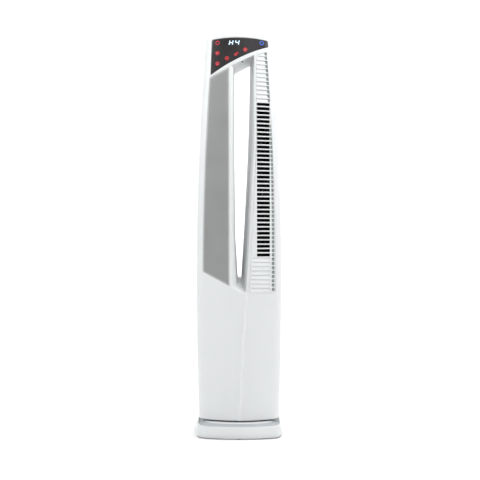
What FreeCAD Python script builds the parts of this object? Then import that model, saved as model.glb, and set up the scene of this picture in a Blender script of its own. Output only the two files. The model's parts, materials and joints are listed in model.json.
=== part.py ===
# Tall tower heater with a ceramic element, as an assembly of separate pieces.
# Frame: +Z up, front towards -Y, +X to the right seen from the front. Millimetres.
# Origin: on the floor, under the centre of the base.
#
# A slim bowed casing swivels on a flared base. A tapered slot goes right through the casing.
# Left of the slot is a perforated intake panel, right of it the louvred warm-air outlet, and above both a
# slanted bar and a glossy touch panel. Low in the casing a centrifugal blower pushes air up a duct behind
# the outlet, where the ceramic heating element stands.
import FreeCAD, Part
import math
import os

Vector = FreeCAD.Vector

# ---------------------------------------------------------------- driving dimensions
HEIGHT = 978.0            # floor to the top of the casing
TOWER_BOTTOM = 38.0       # lower edge of the casing
HALF_WIDTH = 105.5        # of the casing, at its widest
WIDEST_Z = 370.0
SIDE_RADIUS = 7720.0      # of the bowed sides, seen from the front
FRONT_DEPTH = 86.0        # of the casing's front, low down, ahead of the axis
FRONT_LEAN = 22.0         # the front leans back by this much at the top
BACK_DEPTH = 74.0
BACK_LEAN = 16.0
TOP_ROUND = 8.0
BOTTOM_ROUND = 2.4
PARTING_Y = -20.0         # where the front and rear casings meet
WALL = 3.0
RIDGE_PROUD = 4.0         # how far the front's long crease stands out
CREASE_SLOPE = 0.058
CREASE_TOP_X = 38.5
STRIP = 17.0              # width of the casing's side strips beside the front panels
GAP = 0.25                # around a fitted panel
FRONT_BOW = 11.0          # how far the front bulges between its corners, at the bottom
FRONT_BOW_GAIN = 3.0      # and this much more at the top
REAR_BOW = 9.0
CORNER_WIDTH, CORNER_DEPTH = 21.0, 24.0     # of the front's round corners, in plan
REAR_CORNER_WIDTH, REAR_CORNER_DEPTH = 34.0, 30.0

# outlines on the casing's front, as (x, z)
LENS_TOP = [(-67.0, 965.0), (0.0, 966.8), (71.0, 962.8)]
LENS_BOTTOM = [(72.5, 947.5), (2.4, 918.0), (-70.0, 877.0)]
MESH_TOP_RIGHT, MESH_BOTTOM_RIGHT = (-24.5, 894.0), (-23.0, 362.0)
MESH_TOP_Z, MESH_BOTTOM_Z = 870.5, 396.0
LOUVRE_BOTTOM_Z, LOUVRE_TOP_Z = 345.0, 935.0
LOUVRE_FOOT_WIDTH = 6.5   # from the crease to the louvre panel's foot
LOUVRE_KNEE, LOUVRE_TOP_LEFT = (42.0, 702.0), (42.0, 923.0)
SLOT_LEFT_EDGE = [(-17.0, 361.0), (-18.5, 480.0), (-19.0, 700.0), (-19.0, 895.0)]
SLOT_RIGHT_ZS = (341.5, 500.0, 640.0, 702.0, 765.0, 921.0)
THROAT_LEFT_EDGE = [(-3.5, 378.0), (-9.5, 480.0), (-12.3, 700.0), (-12.3, 912.0)]
THROAT_RIGHT_EDGE = [
    (5.8, 377.0), (13.4, 505.0), (20.4, 640.0), (23.1, 702.0), (25.3, 768.0), (28.8, 927.0),
]
# the slot's flare behind the front surface: depth, then how much of it is left at the left, right and ends
SLOT_STATIONS = (
    (-3.0, 1.0, 1.0, 1.0),
    (3.0, 0.5, 0.93, 0.87),
    (8.0, 0.2, 0.8, 0.7),
    (16.0, 0.05, 0.6, 0.5),
    (34.0, 0.0, 0.3, 0.2),
)
LINER_WALL = 2.0

REMOTE_EYE_X, REMOTE_EYE_Z = 9.0, 911.0
REMOTE_EYE_RADIUS = 1.6
ICON_RADIUS = 5.6
ICONS = (
    (-52.5, 956.0), (-52.5, 930.3), (-52.8, 904.3), (-29.5, 916.2),
    (-6.8, 926.5), (15.2, 937.2), (55.5, 955.6),
)
DISPLAY = (-26.0, 4.0, 946.0, 962.0)        # left, right, bottom, top
DISPLAY_DEPTH = 14.0
BOARD = (-60.0, 62.0, 893.0, 963.0)         # of the touch panel: left, right, bottom, top
BOARD_Y = -43.0
BOARD_THICKNESS = 1.6

REAR_WINDOW = (-62.0, 62.0, 96.0, 292.0)    # of the filter cover: left, right, bottom, top
COVER_ROWS, COVER_PITCH = 22, 8.2           # of the filter cover's slots
COVER_COLUMNS = (-54.0, -17.0, 20.0)        # left ends of the slots
COVER_SLOT_LENGTH, COVER_SLOT_HEIGHT = 34.0, 4.4
GRIP = (-44.0, 44.0, 932.0, 957.0)          # the hand grip at the back
GRIP_DEPTH_Y = 28.0

BASE_HALF_WIDTH = 105.5
BASE_HALF_DEPTH = 118.0
BASE_BOW = 8.0            # of the base's front and back
BASE_CORNER_WIDTH, BASE_CORNER_DEPTH = 25.0, 34.0
BASE_FOOT_HALF_WIDTH = 103.0
BASE_RIM_HALF_WIDTH = 101.0
BASE_ROOF_HALF_WIDTH = 84.0
BASE_BOTTOM = 1.5         # the feet hold the base off the floor by this much
RIM_Z = 29.0              # the base's front rim
DOME_Z = 34.0             # the base's flat top, under the tower
BASE_WALL = 2.6

PIVOT_RADIUS = 20.0       # of the hollow swivel tube
PIVOT_BORE = 15.0
PIVOT_CLEARANCE = 0.3
PIVOT_BOTTOM = 19.0
COLLAR_TOP = 36.2         # of the base's thrust collar
COLLAR_RADIUS = 44.0
WASHER_TOP = 37.9
FLOOR_TOP = 41.0          # of the tower's floor plate

GEAR_MODULE = 1.5
SECTOR_TEETH = 60         # as if the sector were a whole gear
PINION_TEETH = 12
GEAR_DISTANCE = GEAR_MODULE * (SECTOR_TEETH + PINION_TEETH) / 2
GEAR_BOTTOM, GEAR_TOP = 21.5, 26.5

SLOT_PITCH = 10.48        # of the outlet's slots and grooves
SLOT_HEIGHT = 7.3
SLOT_ROWS = 36            # open slots
ROWS_ABOVE, ROWS_BELOW = 11, 8     # closed grooves above and below them
FIRST_SLOT_Z = 437.1
SLOT_LEFT, SLOT_RIGHT = 43.3, 74.8

BLOWER_X, BLOWER_Z = -4.0, 168.0
IMPELLER_RADIUS = 52.0
SCROLL_FRONT, SCROLL_MIDDLE, SCROLL_BACK = -44.0, -18.0, 8.0
SCROLL_WALL = 2.0
INLET_RADIUS = 41.0
SHAFT_RADIUS = 3.0
SHAFT_CLEARANCE = 0.08

DUCT_LEFT, DUCT_RIGHT = 41.5, 78.0          # inner faces
DUCT_BOTTOM, DUCT_TOP = 302.0, 826.0
HEATER_BOTTOM, HEATER_TOP = 446.0, 806.0    # of the ceramic element
HEATER_FRONT, HEATER_BACK = -38.0, -14.0

SCREW_RADIUS = 1.5
HEAD_RADIUS = 3.2
CASE_SCREW_X = 90.0
CASE_SCREW_HEIGHTS = (66.0, 330.0, 640.0)
CASE_SCREW_HEAD_Y = 16.0
BASE_SCREWS = ((-70.0, -78.0), (70.0, -78.0), (-70.0, 78.0), (70.0, 78.0))

FAR = 300.0               # long enough to cut right through


# ---------------------------------------------------------------- small helpers
def box(x0, x1, y0, y1, z0, z1):
    return Part.makeBox(x1 - x0, y1 - y0, z1 - z0, Vector(x0, y0, z0))


def rod(radius, start, end):
    """A solid cylinder between two points."""
    along = Vector(*end) - Vector(*start)
    return Part.makeCylinder(radius, along.Length, Vector(*start), along)


def ring(outer, inner, start, end):
    return rod(outer, start, end).cut(rod(inner, start, end))


def joined(solids):
    """One solid from several that overlap."""
    return solids[0].fuse(solids[1:]).removeSplitter()


def curve(points):
    """An edge through 3-D points: a line through two, an arc through three, a smooth curve through more."""
    if len(points) == 2:
        return Part.LineSegment(*points).toShape()
    if len(points) == 3:
        return Part.Arc(*points).toShape()
    spline = Part.BSplineCurve()
    spline.interpolate(points)
    return spline.toShape()


def wire_in_plane(stretches, y):
    """A closed wire in the plane at y. Each stretch is a list of (x, z) points, from the last one's end."""
    return Part.Wire([curve([Vector(x, y, z) for x, z in stretch]) for stretch in stretches])


def prism(stretches, y0=-FAR, y1=FAR):
    return Part.Face(wire_in_plane(stretches, y0)).extrude(Vector(0, y1 - y0, 0))


def between(low, high, count):
    return [low + (high - low) * i / (count - 1) for i in range(count)]


# ---------------------------------------------------------------- the casing's outer form
def half_width(z):
    return HALF_WIDTH - (z - WIDEST_Z) ** 2 / (2 * SIDE_RADIUS)


def rise(z):
    return (z - TOWER_BOTTOM) / (HEIGHT - TOWER_BOTTOM)


def front_y(z):
    return -FRONT_DEPTH + FRONT_LEAN * rise(z) * abs(rise(z))


def back_y(z):
    return BACK_DEPTH - BACK_LEAN * rise(z) * abs(rise(z))


def front_bow(z):
    return FRONT_BOW + FRONT_BOW_GAIN * rise(z)


def crease_x(z):
    """The long crease of the front: it leans right from the foot of the casing, then stands upright."""
    return min(CREASE_TOP_X, CREASE_SLOPE * (z - TOWER_BOTTOM))


def crease_proud(z):
    """It fades out towards the touch panel."""
    return RIDGE_PROUD * min(1.0, max(0.0, (880.0 - z) / 500.0))


def bow_y(x, tip, bow, half_chord):
    """y on the arc that passes tip at x = 0 and lies bow behind it at x = half_chord."""
    radius = (half_chord ** 2 + bow ** 2) / (2 * bow)
    return tip + radius - math.sqrt(radius ** 2 - x ** 2)


def front_surface_y(x, z, inset=0.0):
    """y of the casing's front at x and z, crease included."""
    chord = half_width(z) - inset - CORNER_WIDTH
    crease = crease_x(z)
    share = (x + chord) / (crease + chord) if x < crease else (chord - x) / (chord - crease)
    return bow_y(x, front_y(z) + inset, front_bow(z), chord) - crease_proud(z) * max(0.0, share)


def corner(start, tangent, side_x, depth, z):
    """A rounded plan corner from start, leaving along tangent, to the straight side at side_x."""
    bend = start + tangent * ((side_x - start.x) / tangent.x)
    end = Vector(side_x, bend.y + depth, z)
    bend_curve = Part.BezierCurve()
    bend_curve.setPoles([start, bend, end])
    return bend_curve.toShape(), end


def body_section(z, inset):
    """The casing's closed plan outline at height z, drawn in by inset."""
    w = half_width(z) - inset
    chord = w - CORNER_WIDTH
    xs = [-chord, (crease_x(z) - chord) / 2, crease_x(z), (crease_x(z) + chord) / 2, chord]
    left, left_mid, crease, right_mid, right = [Vector(x, front_surface_y(x, z, inset), z) for x in xs]
    left_arc = Part.Arc(left, left_mid, crease).toShape()
    right_arc = Part.Arc(crease, right_mid, right).toShape()
    rightward = right_arc.tangentAt(right_arc.LastParameter)
    leftward = left_arc.tangentAt(left_arc.FirstParameter) * -1
    right_corner, right_end = corner(right, rightward, w, CORNER_DEPTH, z)
    left_corner, left_end = corner(left, leftward, -w, CORNER_DEPTH, z)

    rear_chord = w - REAR_CORNER_WIDTH
    back = back_y(z) - inset
    rear_right = Vector(rear_chord, -bow_y(rear_chord, -back, REAR_BOW, rear_chord), z)
    rear_left = Vector(-rear_chord, rear_right.y, z)
    rear_arc = Part.Arc(rear_right, Vector(0, back, z), rear_left).toShape()
    outward = rear_arc.tangentAt(rear_arc.FirstParameter) * -1
    rear_corner, rear_end = corner(rear_right, outward, w, -REAR_CORNER_DEPTH, z)
    mirrored = rear_corner.mirror(Vector(0, 0, 0), Vector(1, 0, 0))
    right_side = Part.LineSegment(right_end, rear_end).toShape()
    left_side = Part.LineSegment(Vector(-rear_end.x, rear_end.y, z), left_end).toShape()
    edges = [left_arc, right_arc, right_corner, right_side, rear_corner]
    edges += [rear_arc, mirrored, left_side, left_corner]
    return Part.Wire(Part.__sortEdges__(edges))


SECTION_HEIGHTS = (140.0, 250.0, 370.0, 500.0, 610.0, 702.0, 800.0, 880.0)
ROUNDING_STEPS = 5
LAST_TURN = math.radians(68)      # the rounding ends in a soft edge against the flat end
_bodies = {}


def rounded_end(inset, end_z, radius, direction):
    """The rounded rim of the casing's top (direction 1) or bottom (-1), as a loft."""
    wires = []
    for turn in between(0.0, LAST_TURN, ROUNDING_STEPS):
        z = end_z - direction * radius * (1 - math.sin(turn) / math.sin(LAST_TURN))
        wires.append(body_section(z, inset + radius * (1 - math.cos(turn))))
    return Part.makeLoft(wires, True, False)


def body(inset, bottom=TOWER_BOTTOM, bottom_round=0.0):
    """The casing as a full solid, drawn in by inset. Kept, because several pieces use the same one."""
    key = (inset, bottom, bottom_round)
    if key not in _bodies:
        top = HEIGHT - inset
        top_round = max(2.0, TOP_ROUND - inset)
        heights = [bottom + bottom_round, *SECTION_HEIGHTS, top - top_round]
        solid = Part.makeLoft([body_section(z, inset) for z in heights], True, False)
        solid = solid.fuse(rounded_end(inset, top, top_round, 1))
        if bottom_round:
            solid = solid.fuse(rounded_end(inset, bottom, bottom_round, -1))
        _bodies[key] = solid
    return _bodies[key]


def skin(outer_inset, inner_inset):
    """The layer of the casing between two insets, open at the bottom."""
    outer = body(outer_inset, bottom_round=BOTTOM_ROUND if outer_inset < 1 else 0.0)
    return outer.cut(body(inner_inset, TOWER_BOTTOM - 12.0))


def front_half(solid):
    return solid.common(box(-FAR, FAR, -FAR, PARTING_Y - GAP / 2, 0, 2 * HEIGHT))


def rear_half(solid):
    return solid.common(box(-FAR, FAR, PARTING_Y + GAP / 2, FAR, 0, 2 * HEIGHT))


# ---------------------------------------------------------------- outlines on the casing's front
def panel(stretches, outer_inset, inner_inset, grow=0.0):
    """The part of the casing's layer between two insets that lies inside a front outline."""
    return body(outer_inset).cut(body(inner_inset)).common(front_prism(stretches, grow))


def front_prism(stretches, grow=0.0):
    face = Part.Face(wire_in_plane(stretches, -FAR))
    if grow:
        face = face.makeOffset2D(grow)
    return face.extrude(Vector(0, FAR + PARTING_Y, 0))


def side_edge(side, z0, z1):
    """The outline's bowed edge beside the casing's side strip, as three points from z0 to z1."""
    return [(side * (half_width(z) - STRIP), z) for z in (z0, (z0 + z1) / 2, z1)]


def lens_outline():
    return [LENS_TOP, [LENS_TOP[-1], LENS_BOTTOM[0]], LENS_BOTTOM, [LENS_BOTTOM[-1], LENS_TOP[0]]]


def mesh_outline():
    left = side_edge(-1, MESH_BOTTOM_Z, MESH_TOP_Z)
    corners = [left[-1], MESH_TOP_RIGHT, MESH_BOTTOM_RIGHT, left[0]]
    return [left] + [list(pair) for pair in zip(corners, corners[1:])]


def louvre_outline():
    right = side_edge(1, LOUVRE_TOP_Z, LOUVRE_BOTTOM_Z)
    foot = (crease_x(LOUVRE_BOTTOM_Z) + LOUVRE_FOOT_WIDTH, LOUVRE_BOTTOM_Z)
    corners = [right[-1], foot, LOUVRE_KNEE, LOUVRE_TOP_LEFT, right[0]]
    return [right] + [list(pair) for pair in zip(corners, corners[1:])]


# ---------------------------------------------------------------- the slot through the casing
def slot_section(y_at, left_share, right_share, end_share, grow):
    """One closed outline of the slot. y_at(z) gives each point's place in depth."""
    def blend(front, throat, share, dx):
        points = []
        for i, ((x0, z0), (x1, z1)) in enumerate(zip(front, throat)):
            dz = {0: -grow, len(front) - 1: grow}.get(i, 0.0)
            z = z1 + (z0 - z1) * end_share + dz
            points.append(Vector(x1 + (x0 - x1) * share + dx, y_at(z), z))
        return points
    left = blend(SLOT_LEFT_EDGE, THROAT_LEFT_EDGE, left_share, -grow)
    right = blend([(crease_x(z), z) for z in SLOT_RIGHT_ZS], THROAT_RIGHT_EDGE, right_share, grow)
    right.reverse()
    return Part.Wire([curve(left), curve([left[-1], right[0]]), curve(right), curve([right[-1], left[0]])])


def slot_solid(grow=0.0):
    wires = [slot_section(lambda z: -2 * FRONT_DEPTH, 1.0, 1.0, 1.0, grow)]
    for depth, left, right, end in SLOT_STATIONS:
        wires.append(slot_section(lambda z, d=depth: front_y(z) + d, left, right, end, grow))
    for y in (0.0, 2 * BACK_DEPTH):
        wires.append(slot_section(lambda z, y=y: y, 0.0, 0.0, 0.0, grow))
    return Part.makeLoft(wires, True, True)


# ---------------------------------------------------------------- casing pieces
def case_screw_spots():
    return [(side * CASE_SCREW_X, z) for z in CASE_SCREW_HEIGHTS for side in (-1, 1)]


def case_bosses():
    """Full-depth posts inside the casing, with their screw holes."""
    posts = [rod(4.6, (x, -FAR, z), (x, FAR, z)) for x, z in case_screw_spots()]
    return Part.makeCompound(posts).common(body(WALL / 2))


def front_shell():
    shell = skin(0, WALL).fuse(case_bosses())
    shell = front_half(shell)
    for outline in (lens_outline(), mesh_outline(), louvre_outline()):
        shell = shell.cut(front_prism(outline, GAP))
    holes = [rod(SCREW_RADIUS + 0.1, (x, -36, z), (x, 0, z)) for x, z in case_screw_spots()]
    return shell.cut(slot_solid(LINER_WALL + GAP)).cut(Part.makeCompound(holes))


def rear_shell():
    shell = skin(0, WALL).fuse(case_bosses())
    x0, x1, z0, z1 = GRIP
    cup = box(x0 - WALL, x1 + WALL, GRIP_DEPTH_Y - WALL, FAR, z0 - WALL, z1 + WALL).common(body(WALL / 2))
    shell = rear_half(shell.fuse(cup))
    left, right, bottom, top = REAR_WINDOW
    cutters = [
        box(x0, x1, GRIP_DEPTH_Y, FAR, z0, z1),
        slot_solid(LINER_WALL + GAP),
        box(left, right, 20, FAR, bottom, top),
    ]
    for x, z in case_screw_spots():
        cutters.append(rod(SCREW_RADIUS + 0.3, (x, -FAR, z), (x, FAR, z)))
        cutters.append(rod(HEAD_RADIUS + 0.4, (x, CASE_SCREW_HEAD_Y - 2.2, z), (x, FAR, z)))
    return shell.cut(Part.makeCompound(cutters))


def screw(tip, head, head_length=2.2, head_radius=HEAD_RADIUS):
    """A screw whose shank runs from tip to head and whose head lies beyond that."""
    along = (Vector(*head) - Vector(*tip)).normalize() * head_length
    return rod(SCREW_RADIUS, tip, head).fuse(rod(head_radius, head, Vector(*head) + along)).removeSplitter()


def case_screws():
    head_y = CASE_SCREW_HEAD_Y - 2.2
    return Part.makeCompound([screw((x, -34, z), (x, head_y, z)) for x, z in case_screw_spots()])


def slot_liner():
    liner = slot_solid(LINER_WALL).cut(slot_solid()).common(body(0))
    eye = (REMOTE_EYE_X, -FAR, REMOTE_EYE_Z)
    return liner.cut(rod(REMOTE_EYE_RADIUS + 0.1, eye, (REMOTE_EYE_X, 0, REMOTE_EYE_Z)))


def remote_eye():
    """The remote-control receiver's window, in the lip over the slot."""
    x, z = REMOTE_EYE_X, REMOTE_EYE_Z
    return rod(REMOTE_EYE_RADIUS, (x, front_y(z) + 4, z), (x, front_y(z) + 12, z))


def control_lens():
    return panel(lens_outline(), 0.0, 2.0)


def lens_carrier():
    """The plate the lens is glued to, with a window for the display and one hole for each icon."""
    carrier = panel(lens_outline(), 2.0, 5.0, -1.0)
    holes = [box(DISPLAY[0] - 1, DISPLAY[1] + 1, -FAR, FAR, DISPLAY[2] - 1, DISPLAY[3] + 1)]
    holes += [rod(ICON_RADIUS + 0.2, (x, -FAR, z), (x, FAR, z)) for x, z in ICONS]
    return carrier.cut(Part.makeCompound(holes))


def icon_lights():
    """Seven light guides, from the board to the back of the lens."""
    rods = [rod(ICON_RADIUS, (x, -FAR, z), (x, BOARD_Y, z)) for x, z in ICONS]
    return Part.makeCompound(rods).common(body(2.6))


def display_module():
    x0, x1, z0, z1 = DISPLAY
    return box(x0, x1, BOARD_Y - DISPLAY_DEPTH, BOARD_Y, z0, z1)


def control_board():
    x0, x1, z0, z1 = BOARD
    board = box(x0, x1, BOARD_Y, BOARD_Y + BOARD_THICKNESS, z0, z1)
    return board.cut(slot_solid(LINER_WALL + 2))


def intake_grille():
    grille = panel(mesh_outline(), 1.0, 2.8)
    pitch_x, pitch_z = 9.4, 19.0
    holes = []
    for column in range(5):
        for row in range(26):
            x, z = -75.5 + column * pitch_x, 404 + row * pitch_z
            holes.append(box(x - 3.4, x + 3.4, -FAR, 0, z - 7.8, z + 7.8))
    inside = front_prism(mesh_outline(), -5.0)
    return grille.cut(Part.makeCompound(holes).common(inside))


def intake_foam():
    return panel(mesh_outline(), 3.2, 6.2, -0.4)


def louvre_grille():
    grille = panel(louvre_outline(), 0.0, WALL)
    slots = []
    grooves = []
    half_height = SLOT_HEIGHT / 2
    for row in range(-ROWS_BELOW, SLOT_ROWS + ROWS_ABOVE):
        z = FIRST_SLOT_Z + row * SLOT_PITCH
        if 0 <= row < SLOT_ROWS:
            slots.append(box(SLOT_LEFT, SLOT_RIGHT, -FAR, 0, z - half_height, z + half_height))
        else:
            grooves.append(box(SLOT_LEFT - 8, SLOT_RIGHT, -FAR, 0, z - half_height, z + half_height))
    grooves = Part.makeCompound(grooves).common(front_prism(louvre_outline(), -3.0)).cut(body(1.2))
    return grille.cut(Part.makeCompound([*slots, grooves]))


def filter_cover():
    """The pull-off intake cover at the back, with three columns of slots."""
    left, right, bottom, top = REAR_WINDOW
    cover = skin(0, WALL).common(box(left + GAP, right - GAP, 20, FAR, bottom + GAP, top - GAP))
    slots = []
    half_height = COVER_SLOT_HEIGHT / 2
    for row in range(COVER_ROWS):
        z = bottom + 12 + row * COVER_PITCH
        for x0 in COVER_COLUMNS:
            slots.append(box(x0, x0 + COVER_SLOT_LENGTH, 0, FAR, z - half_height, z + half_height))
    return cover.cut(Part.makeCompound(slots))


def rear_foam():
    left, right, bottom, top = REAR_WINDOW
    return body(3.3).cut(body(6.2)).common(box(left + 2, right - 2, 20, FAR, bottom + 2, top - 2))


# ---------------------------------------------------------------- the swivel and the tower's floor
def tower_floor():
    outline = body_section(TOWER_BOTTOM, WALL + GAP)
    plate = Part.Face(outline).extrude(Vector(0, 0, FLOOR_TOP - TOWER_BOTTOM))
    tube = ring(PIVOT_RADIUS, PIVOT_BORE, (0, 0, PIVOT_BOTTOM), (0, 0, FLOOR_TOP + 3))
    return plate.cut(rod(PIVOT_BORE, (0, 0, 0), (0, 0, 60))).fuse(tube).removeSplitter()


def swivel_washer():
    return ring(42.0, PIVOT_RADIUS + 0.5, (0, 0, COLLAR_TOP), (0, 0, WASHER_TOP))


def pivot_retainer():
    """The ring under the base's roof that holds the tower down."""
    return ring(30.0, PIVOT_RADIUS, (0, 0, 27.6), (0, 0, 30.6))


def tooth_flank(teeth, side, centre_angle):
    """Points up one involute flank of a tooth, from root to tip."""
    pitch_radius = GEAR_MODULE * teeth / 2
    pressure = math.radians(25)
    base_radius = pitch_radius * math.cos(pressure)
    half_tooth = (math.pi * GEAR_MODULE / 2 - 0.16) / (2 * pitch_radius)
    at_pitch = math.tan(pressure) - pressure
    points = []
    for radius in between(pitch_radius - 1.1 * GEAR_MODULE, pitch_radius + 0.8 * GEAR_MODULE, 4):
        turn = math.acos(min(1.0, base_radius / radius))
        angle = centre_angle + side * (half_tooth + at_pitch - (math.tan(turn) - turn))
        points.append(Vector(radius * math.cos(angle), radius * math.sin(angle), 0))
    return points


def gear(teeth, first_angle, bottom, top, bore):
    outline = []
    for tooth in range(teeth):
        centre = math.radians(first_angle + tooth * 360.0 / teeth)
        outline += tooth_flank(teeth, -1, centre)
        outline += reversed(tooth_flank(teeth, 1, centre))
    wire = Part.makePolygon(outline + [outline[0]])
    wheel = Part.Face(wire).extrude(Vector(0, 0, top - bottom)).translated(Vector(0, 0, bottom))
    return wheel.cut(rod(bore, (0, 0, 0), (0, 0, 60)))


SECTOR_HALF_ANGLE = 45.0


def gear_sector():
    """The toothed sector fixed to the swivel tube, facing the swing motor."""
    wheel = gear(SECTOR_TEETH, 90.0, GEAR_BOTTOM, GEAR_TOP, PIVOT_RADIUS)
    wedge = Part.makeCylinder(60, 40, Vector(0, 0, 0), Vector(0, 0, 1), 2 * SECTOR_HALF_ANGLE)
    wedge.rotate(Vector(0, 0, 0), Vector(0, 0, 1), 90 - SECTOR_HALF_ANGLE)
    hub = ring(27.0, PIVOT_RADIUS, (0, 0, GEAR_BOTTOM), (0, 0, GEAR_TOP))
    return wheel.common(wedge).fuse(hub).removeSplitter()


def swing_pinion():
    """The pinion on its motor shaft."""
    wheel = gear(PINION_TEETH, 270.0 + 180.0 / PINION_TEETH, GEAR_BOTTOM - 0.5, GEAR_TOP + 0.5, 1.0)
    shaft = rod(2.5, (0, 0, 8), (0, 0, GEAR_TOP + 0.5))
    return wheel.fuse(shaft).removeSplitter().translated(Vector(0, GEAR_DISTANCE, 0))


def swing_motor():
    """A flat round geared motor with two mounting ears."""
    y = GEAR_DISTANCE
    can = rod(24.0, (0, y, 4.1), (0, y, 18.0)).fuse(rod(6.0, (0, y, 18.0), (0, y, 20.2)))
    ears = box(-33, 33, y - 5, y + 5, 4.1, 5.6)
    return can.fuse(ears).cut(rod(2.5 + SHAFT_CLEARANCE, (0, y, 7), (0, y, 30))).removeSplitter()


# ---------------------------------------------------------------- the base
def base_section(z, half, grow=0.0):
    """The base's plan outline: bowed front and back, straight sides, large round corners."""
    w = half + grow
    depth = BASE_HALF_DEPTH + grow - (BASE_HALF_WIDTH - half)
    chord = w - BASE_CORNER_WIDTH
    end_y = -depth + BASE_BOW
    front = [Vector(-chord, end_y, z), Vector(0, -depth, z), Vector(chord, end_y, z)]
    front_arc = Part.Arc(*front).toShape()
    tangent = front_arc.tangentAt(front_arc.LastParameter)
    round_corner, side_end = corner(front[2], tangent, w, BASE_CORNER_DEPTH, z)
    edges = [front_arc, round_corner, round_corner.mirror(Vector(0, 0, 0), Vector(1, 0, 0))]
    edges += [edge.mirror(Vector(0, 0, 0), Vector(0, 1, 0)) for edge in edges]
    for side in (-1, 1):
        ends = Vector(side * side_end.x, side_end.y, z), Vector(side * side_end.x, -side_end.y, z)
        edges.append(Part.LineSegment(*ends).toShape())
    return Part.Wire(Part.__sortEdges__(edges))


def base_block(grow=0.0, bottom=BASE_BOTTOM):
    """The flared plinth and its low dished roof, as a full solid."""
    rim, roof_top = RIM_Z + grow, DOME_Z + grow
    widest = BASE_HALF_WIDTH
    foot_half, rim_half = BASE_FOOT_HALF_WIDTH, BASE_RIM_HALF_WIDTH
    flare = ((bottom, foot_half), (8.0, widest), (18.0, widest - 1.4), (rim, rim_half))
    flank = Part.makeLoft([base_section(z, half, grow) for z, half in flare], True, False)
    roof = ((rim, rim_half), (rim + 1.8, rim_half - 6), (roof_top, BASE_ROOF_HALF_WIDTH))
    return flank.fuse(Part.makeLoft([base_section(z, half, grow) for z, half in roof], True, True))


def base_housing():
    hollow = base_block(-BASE_WALL, 0.0)
    shell = base_block().cut(hollow)
    bore = PIVOT_RADIUS + PIVOT_CLEARANCE
    shell = shell.fuse(ring(COLLAR_RADIUS, bore, (0, 0, DOME_Z - BASE_WALL), (0, 0, COLLAR_TOP)))
    posts = [rod(5.0, (x, y, 4.4), (x, y, DOME_Z - BASE_WALL)) for x, y in BASE_SCREWS]
    shell = shell.fuse(posts)
    cutters = [rod(PIVOT_RADIUS + PIVOT_CLEARANCE, (0, 0, 0), (0, 0, 60))]
    cutters += [rod(SCREW_RADIUS + 0.1, (x, y, 0), (x, y, 20)) for x, y in BASE_SCREWS]
    cutters.append(rod(INLET_NECK + 0.1, (0, 90, INLET_Z), (0, 130, INLET_Z)))
    cutters.append(rod(INLET_FLANGE + 0.1, (0, INLET_Y, INLET_Z), (0, 130, INLET_Z)))
    return shell.cut(Part.makeCompound(cutters))


INLET_Z, INLET_Y = 16.0, 115.6
INLET_NECK, INLET_FLANGE, INLET_BORE = 5.6, 8.0, 3.7


def cord_inlet_bush():
    """The rubber bush where the mains cord enters the base."""
    flange = rod(INLET_FLANGE, (0, INLET_Y, INLET_Z), (0, BASE_HALF_DEPTH, INLET_Z))
    inner_flange = rod(INLET_FLANGE, (0, 108.6, INLET_Z), (0, 111.2, INLET_Z))
    neck = rod(INLET_NECK, (0, 108.6, INLET_Z), (0, INLET_Y + 1, INLET_Z))
    return joined([flange, neck, inner_flange]).cut(rod(INLET_BORE, (0, 90, INLET_Z), (0, 130, INLET_Z)))


PLATE_BOTTOM, PLATE_TOP = 1.6, 4.0


def base_bottom_plate():
    outline = base_section(PLATE_BOTTOM, BASE_FOOT_HALF_WIDTH, -BASE_WALL - 0.3)
    plate = Part.Face(outline).extrude(Vector(0, 0, PLATE_TOP - PLATE_BOTTOM))
    cutters = [rod(SCREW_RADIUS + 0.2, (x, y, 0), (x, y, 9)) for x, y in BASE_SCREWS]
    cutters += [rod(HEAD_RADIUS + 0.2, (x, y, 0), (x, y, PLATE_TOP - 1)) for x, y in BASE_SCREWS]
    cutters += [rod(FOOT_RADIUS - 3.9, (x, y, 0), (x, y, 9)) for x, y in FEET]
    cutters.append(box(-4.3, 4.3, TIP_Y - 4.3, TIP_Y + 4.3, 0, 9))
    return plate.cut(Part.makeCompound(cutters))


def base_screws():
    return Part.makeCompound([screw((x, y, 16), (x, y, PLATE_TOP - 1), 1.3) for x, y in BASE_SCREWS])


FEET = ((-82.0, -50.0), (82.0, -50.0), (-82.0, 50.0), (82.0, 50.0), (0.0, -104.0), (0.0, 100.0))
FOOT_RADIUS = 8.0


def rubber_feet():
    """Each foot is a pad with a plug that snaps into the bottom plate."""
    feet = []
    for x, y in FEET:
        pad = rod(FOOT_RADIUS, (x, y, 0), (x, y, PLATE_BOTTOM))
        feet.append(pad.fuse(rod(FOOT_RADIUS - 4, (x, y, 1), (x, y, PLATE_TOP + 1.2))).removeSplitter())
    return Part.makeCompound(feet)


BALLAST_BOTTOM, BALLAST_TOP = 5.3, 11.0
BALLAST_HALF_WIDTH = 90.0


def ballast_plate():
    outline = base_section(BALLAST_BOTTOM, BALLAST_HALF_WIDTH)
    block = Part.Face(outline).extrude(Vector(0, 0, BALLAST_TOP - BALLAST_BOTTOM))
    cutters = [
        rod(52.0, (0, 0, 0), (0, 0, 30)),
        box(-50, 50, 0, FAR, 0, 30),
        box(-14, 14, TIP_Y - 14, TIP_Y + 14, 0, 30),
    ]
    cutters += [rod(6.5, (x, y, 0), (x, y, 30)) for x, y in BASE_SCREWS]
    return block.cut(Part.makeCompound(cutters))


TIP_Y = -78.0


def tip_switch_body():
    """The tip-over switch: a square sleeve with a lid, on the bottom plate."""
    block = box(-10, 10, TIP_Y - 10, TIP_Y + 10, PLATE_TOP, 24)
    return block.cut(box(-6.6, 6.6, TIP_Y - 6.6, TIP_Y + 6.6, 0, 22))


def tip_switch_plunger():
    head = box(-6, 6, TIP_Y - 6, TIP_Y + 6, 9.0, 12.0)
    return head.fuse(box(-3.8, 3.8, TIP_Y - 3.8, TIP_Y + 3.8, 0.2, 12.0)).removeSplitter()


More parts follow.
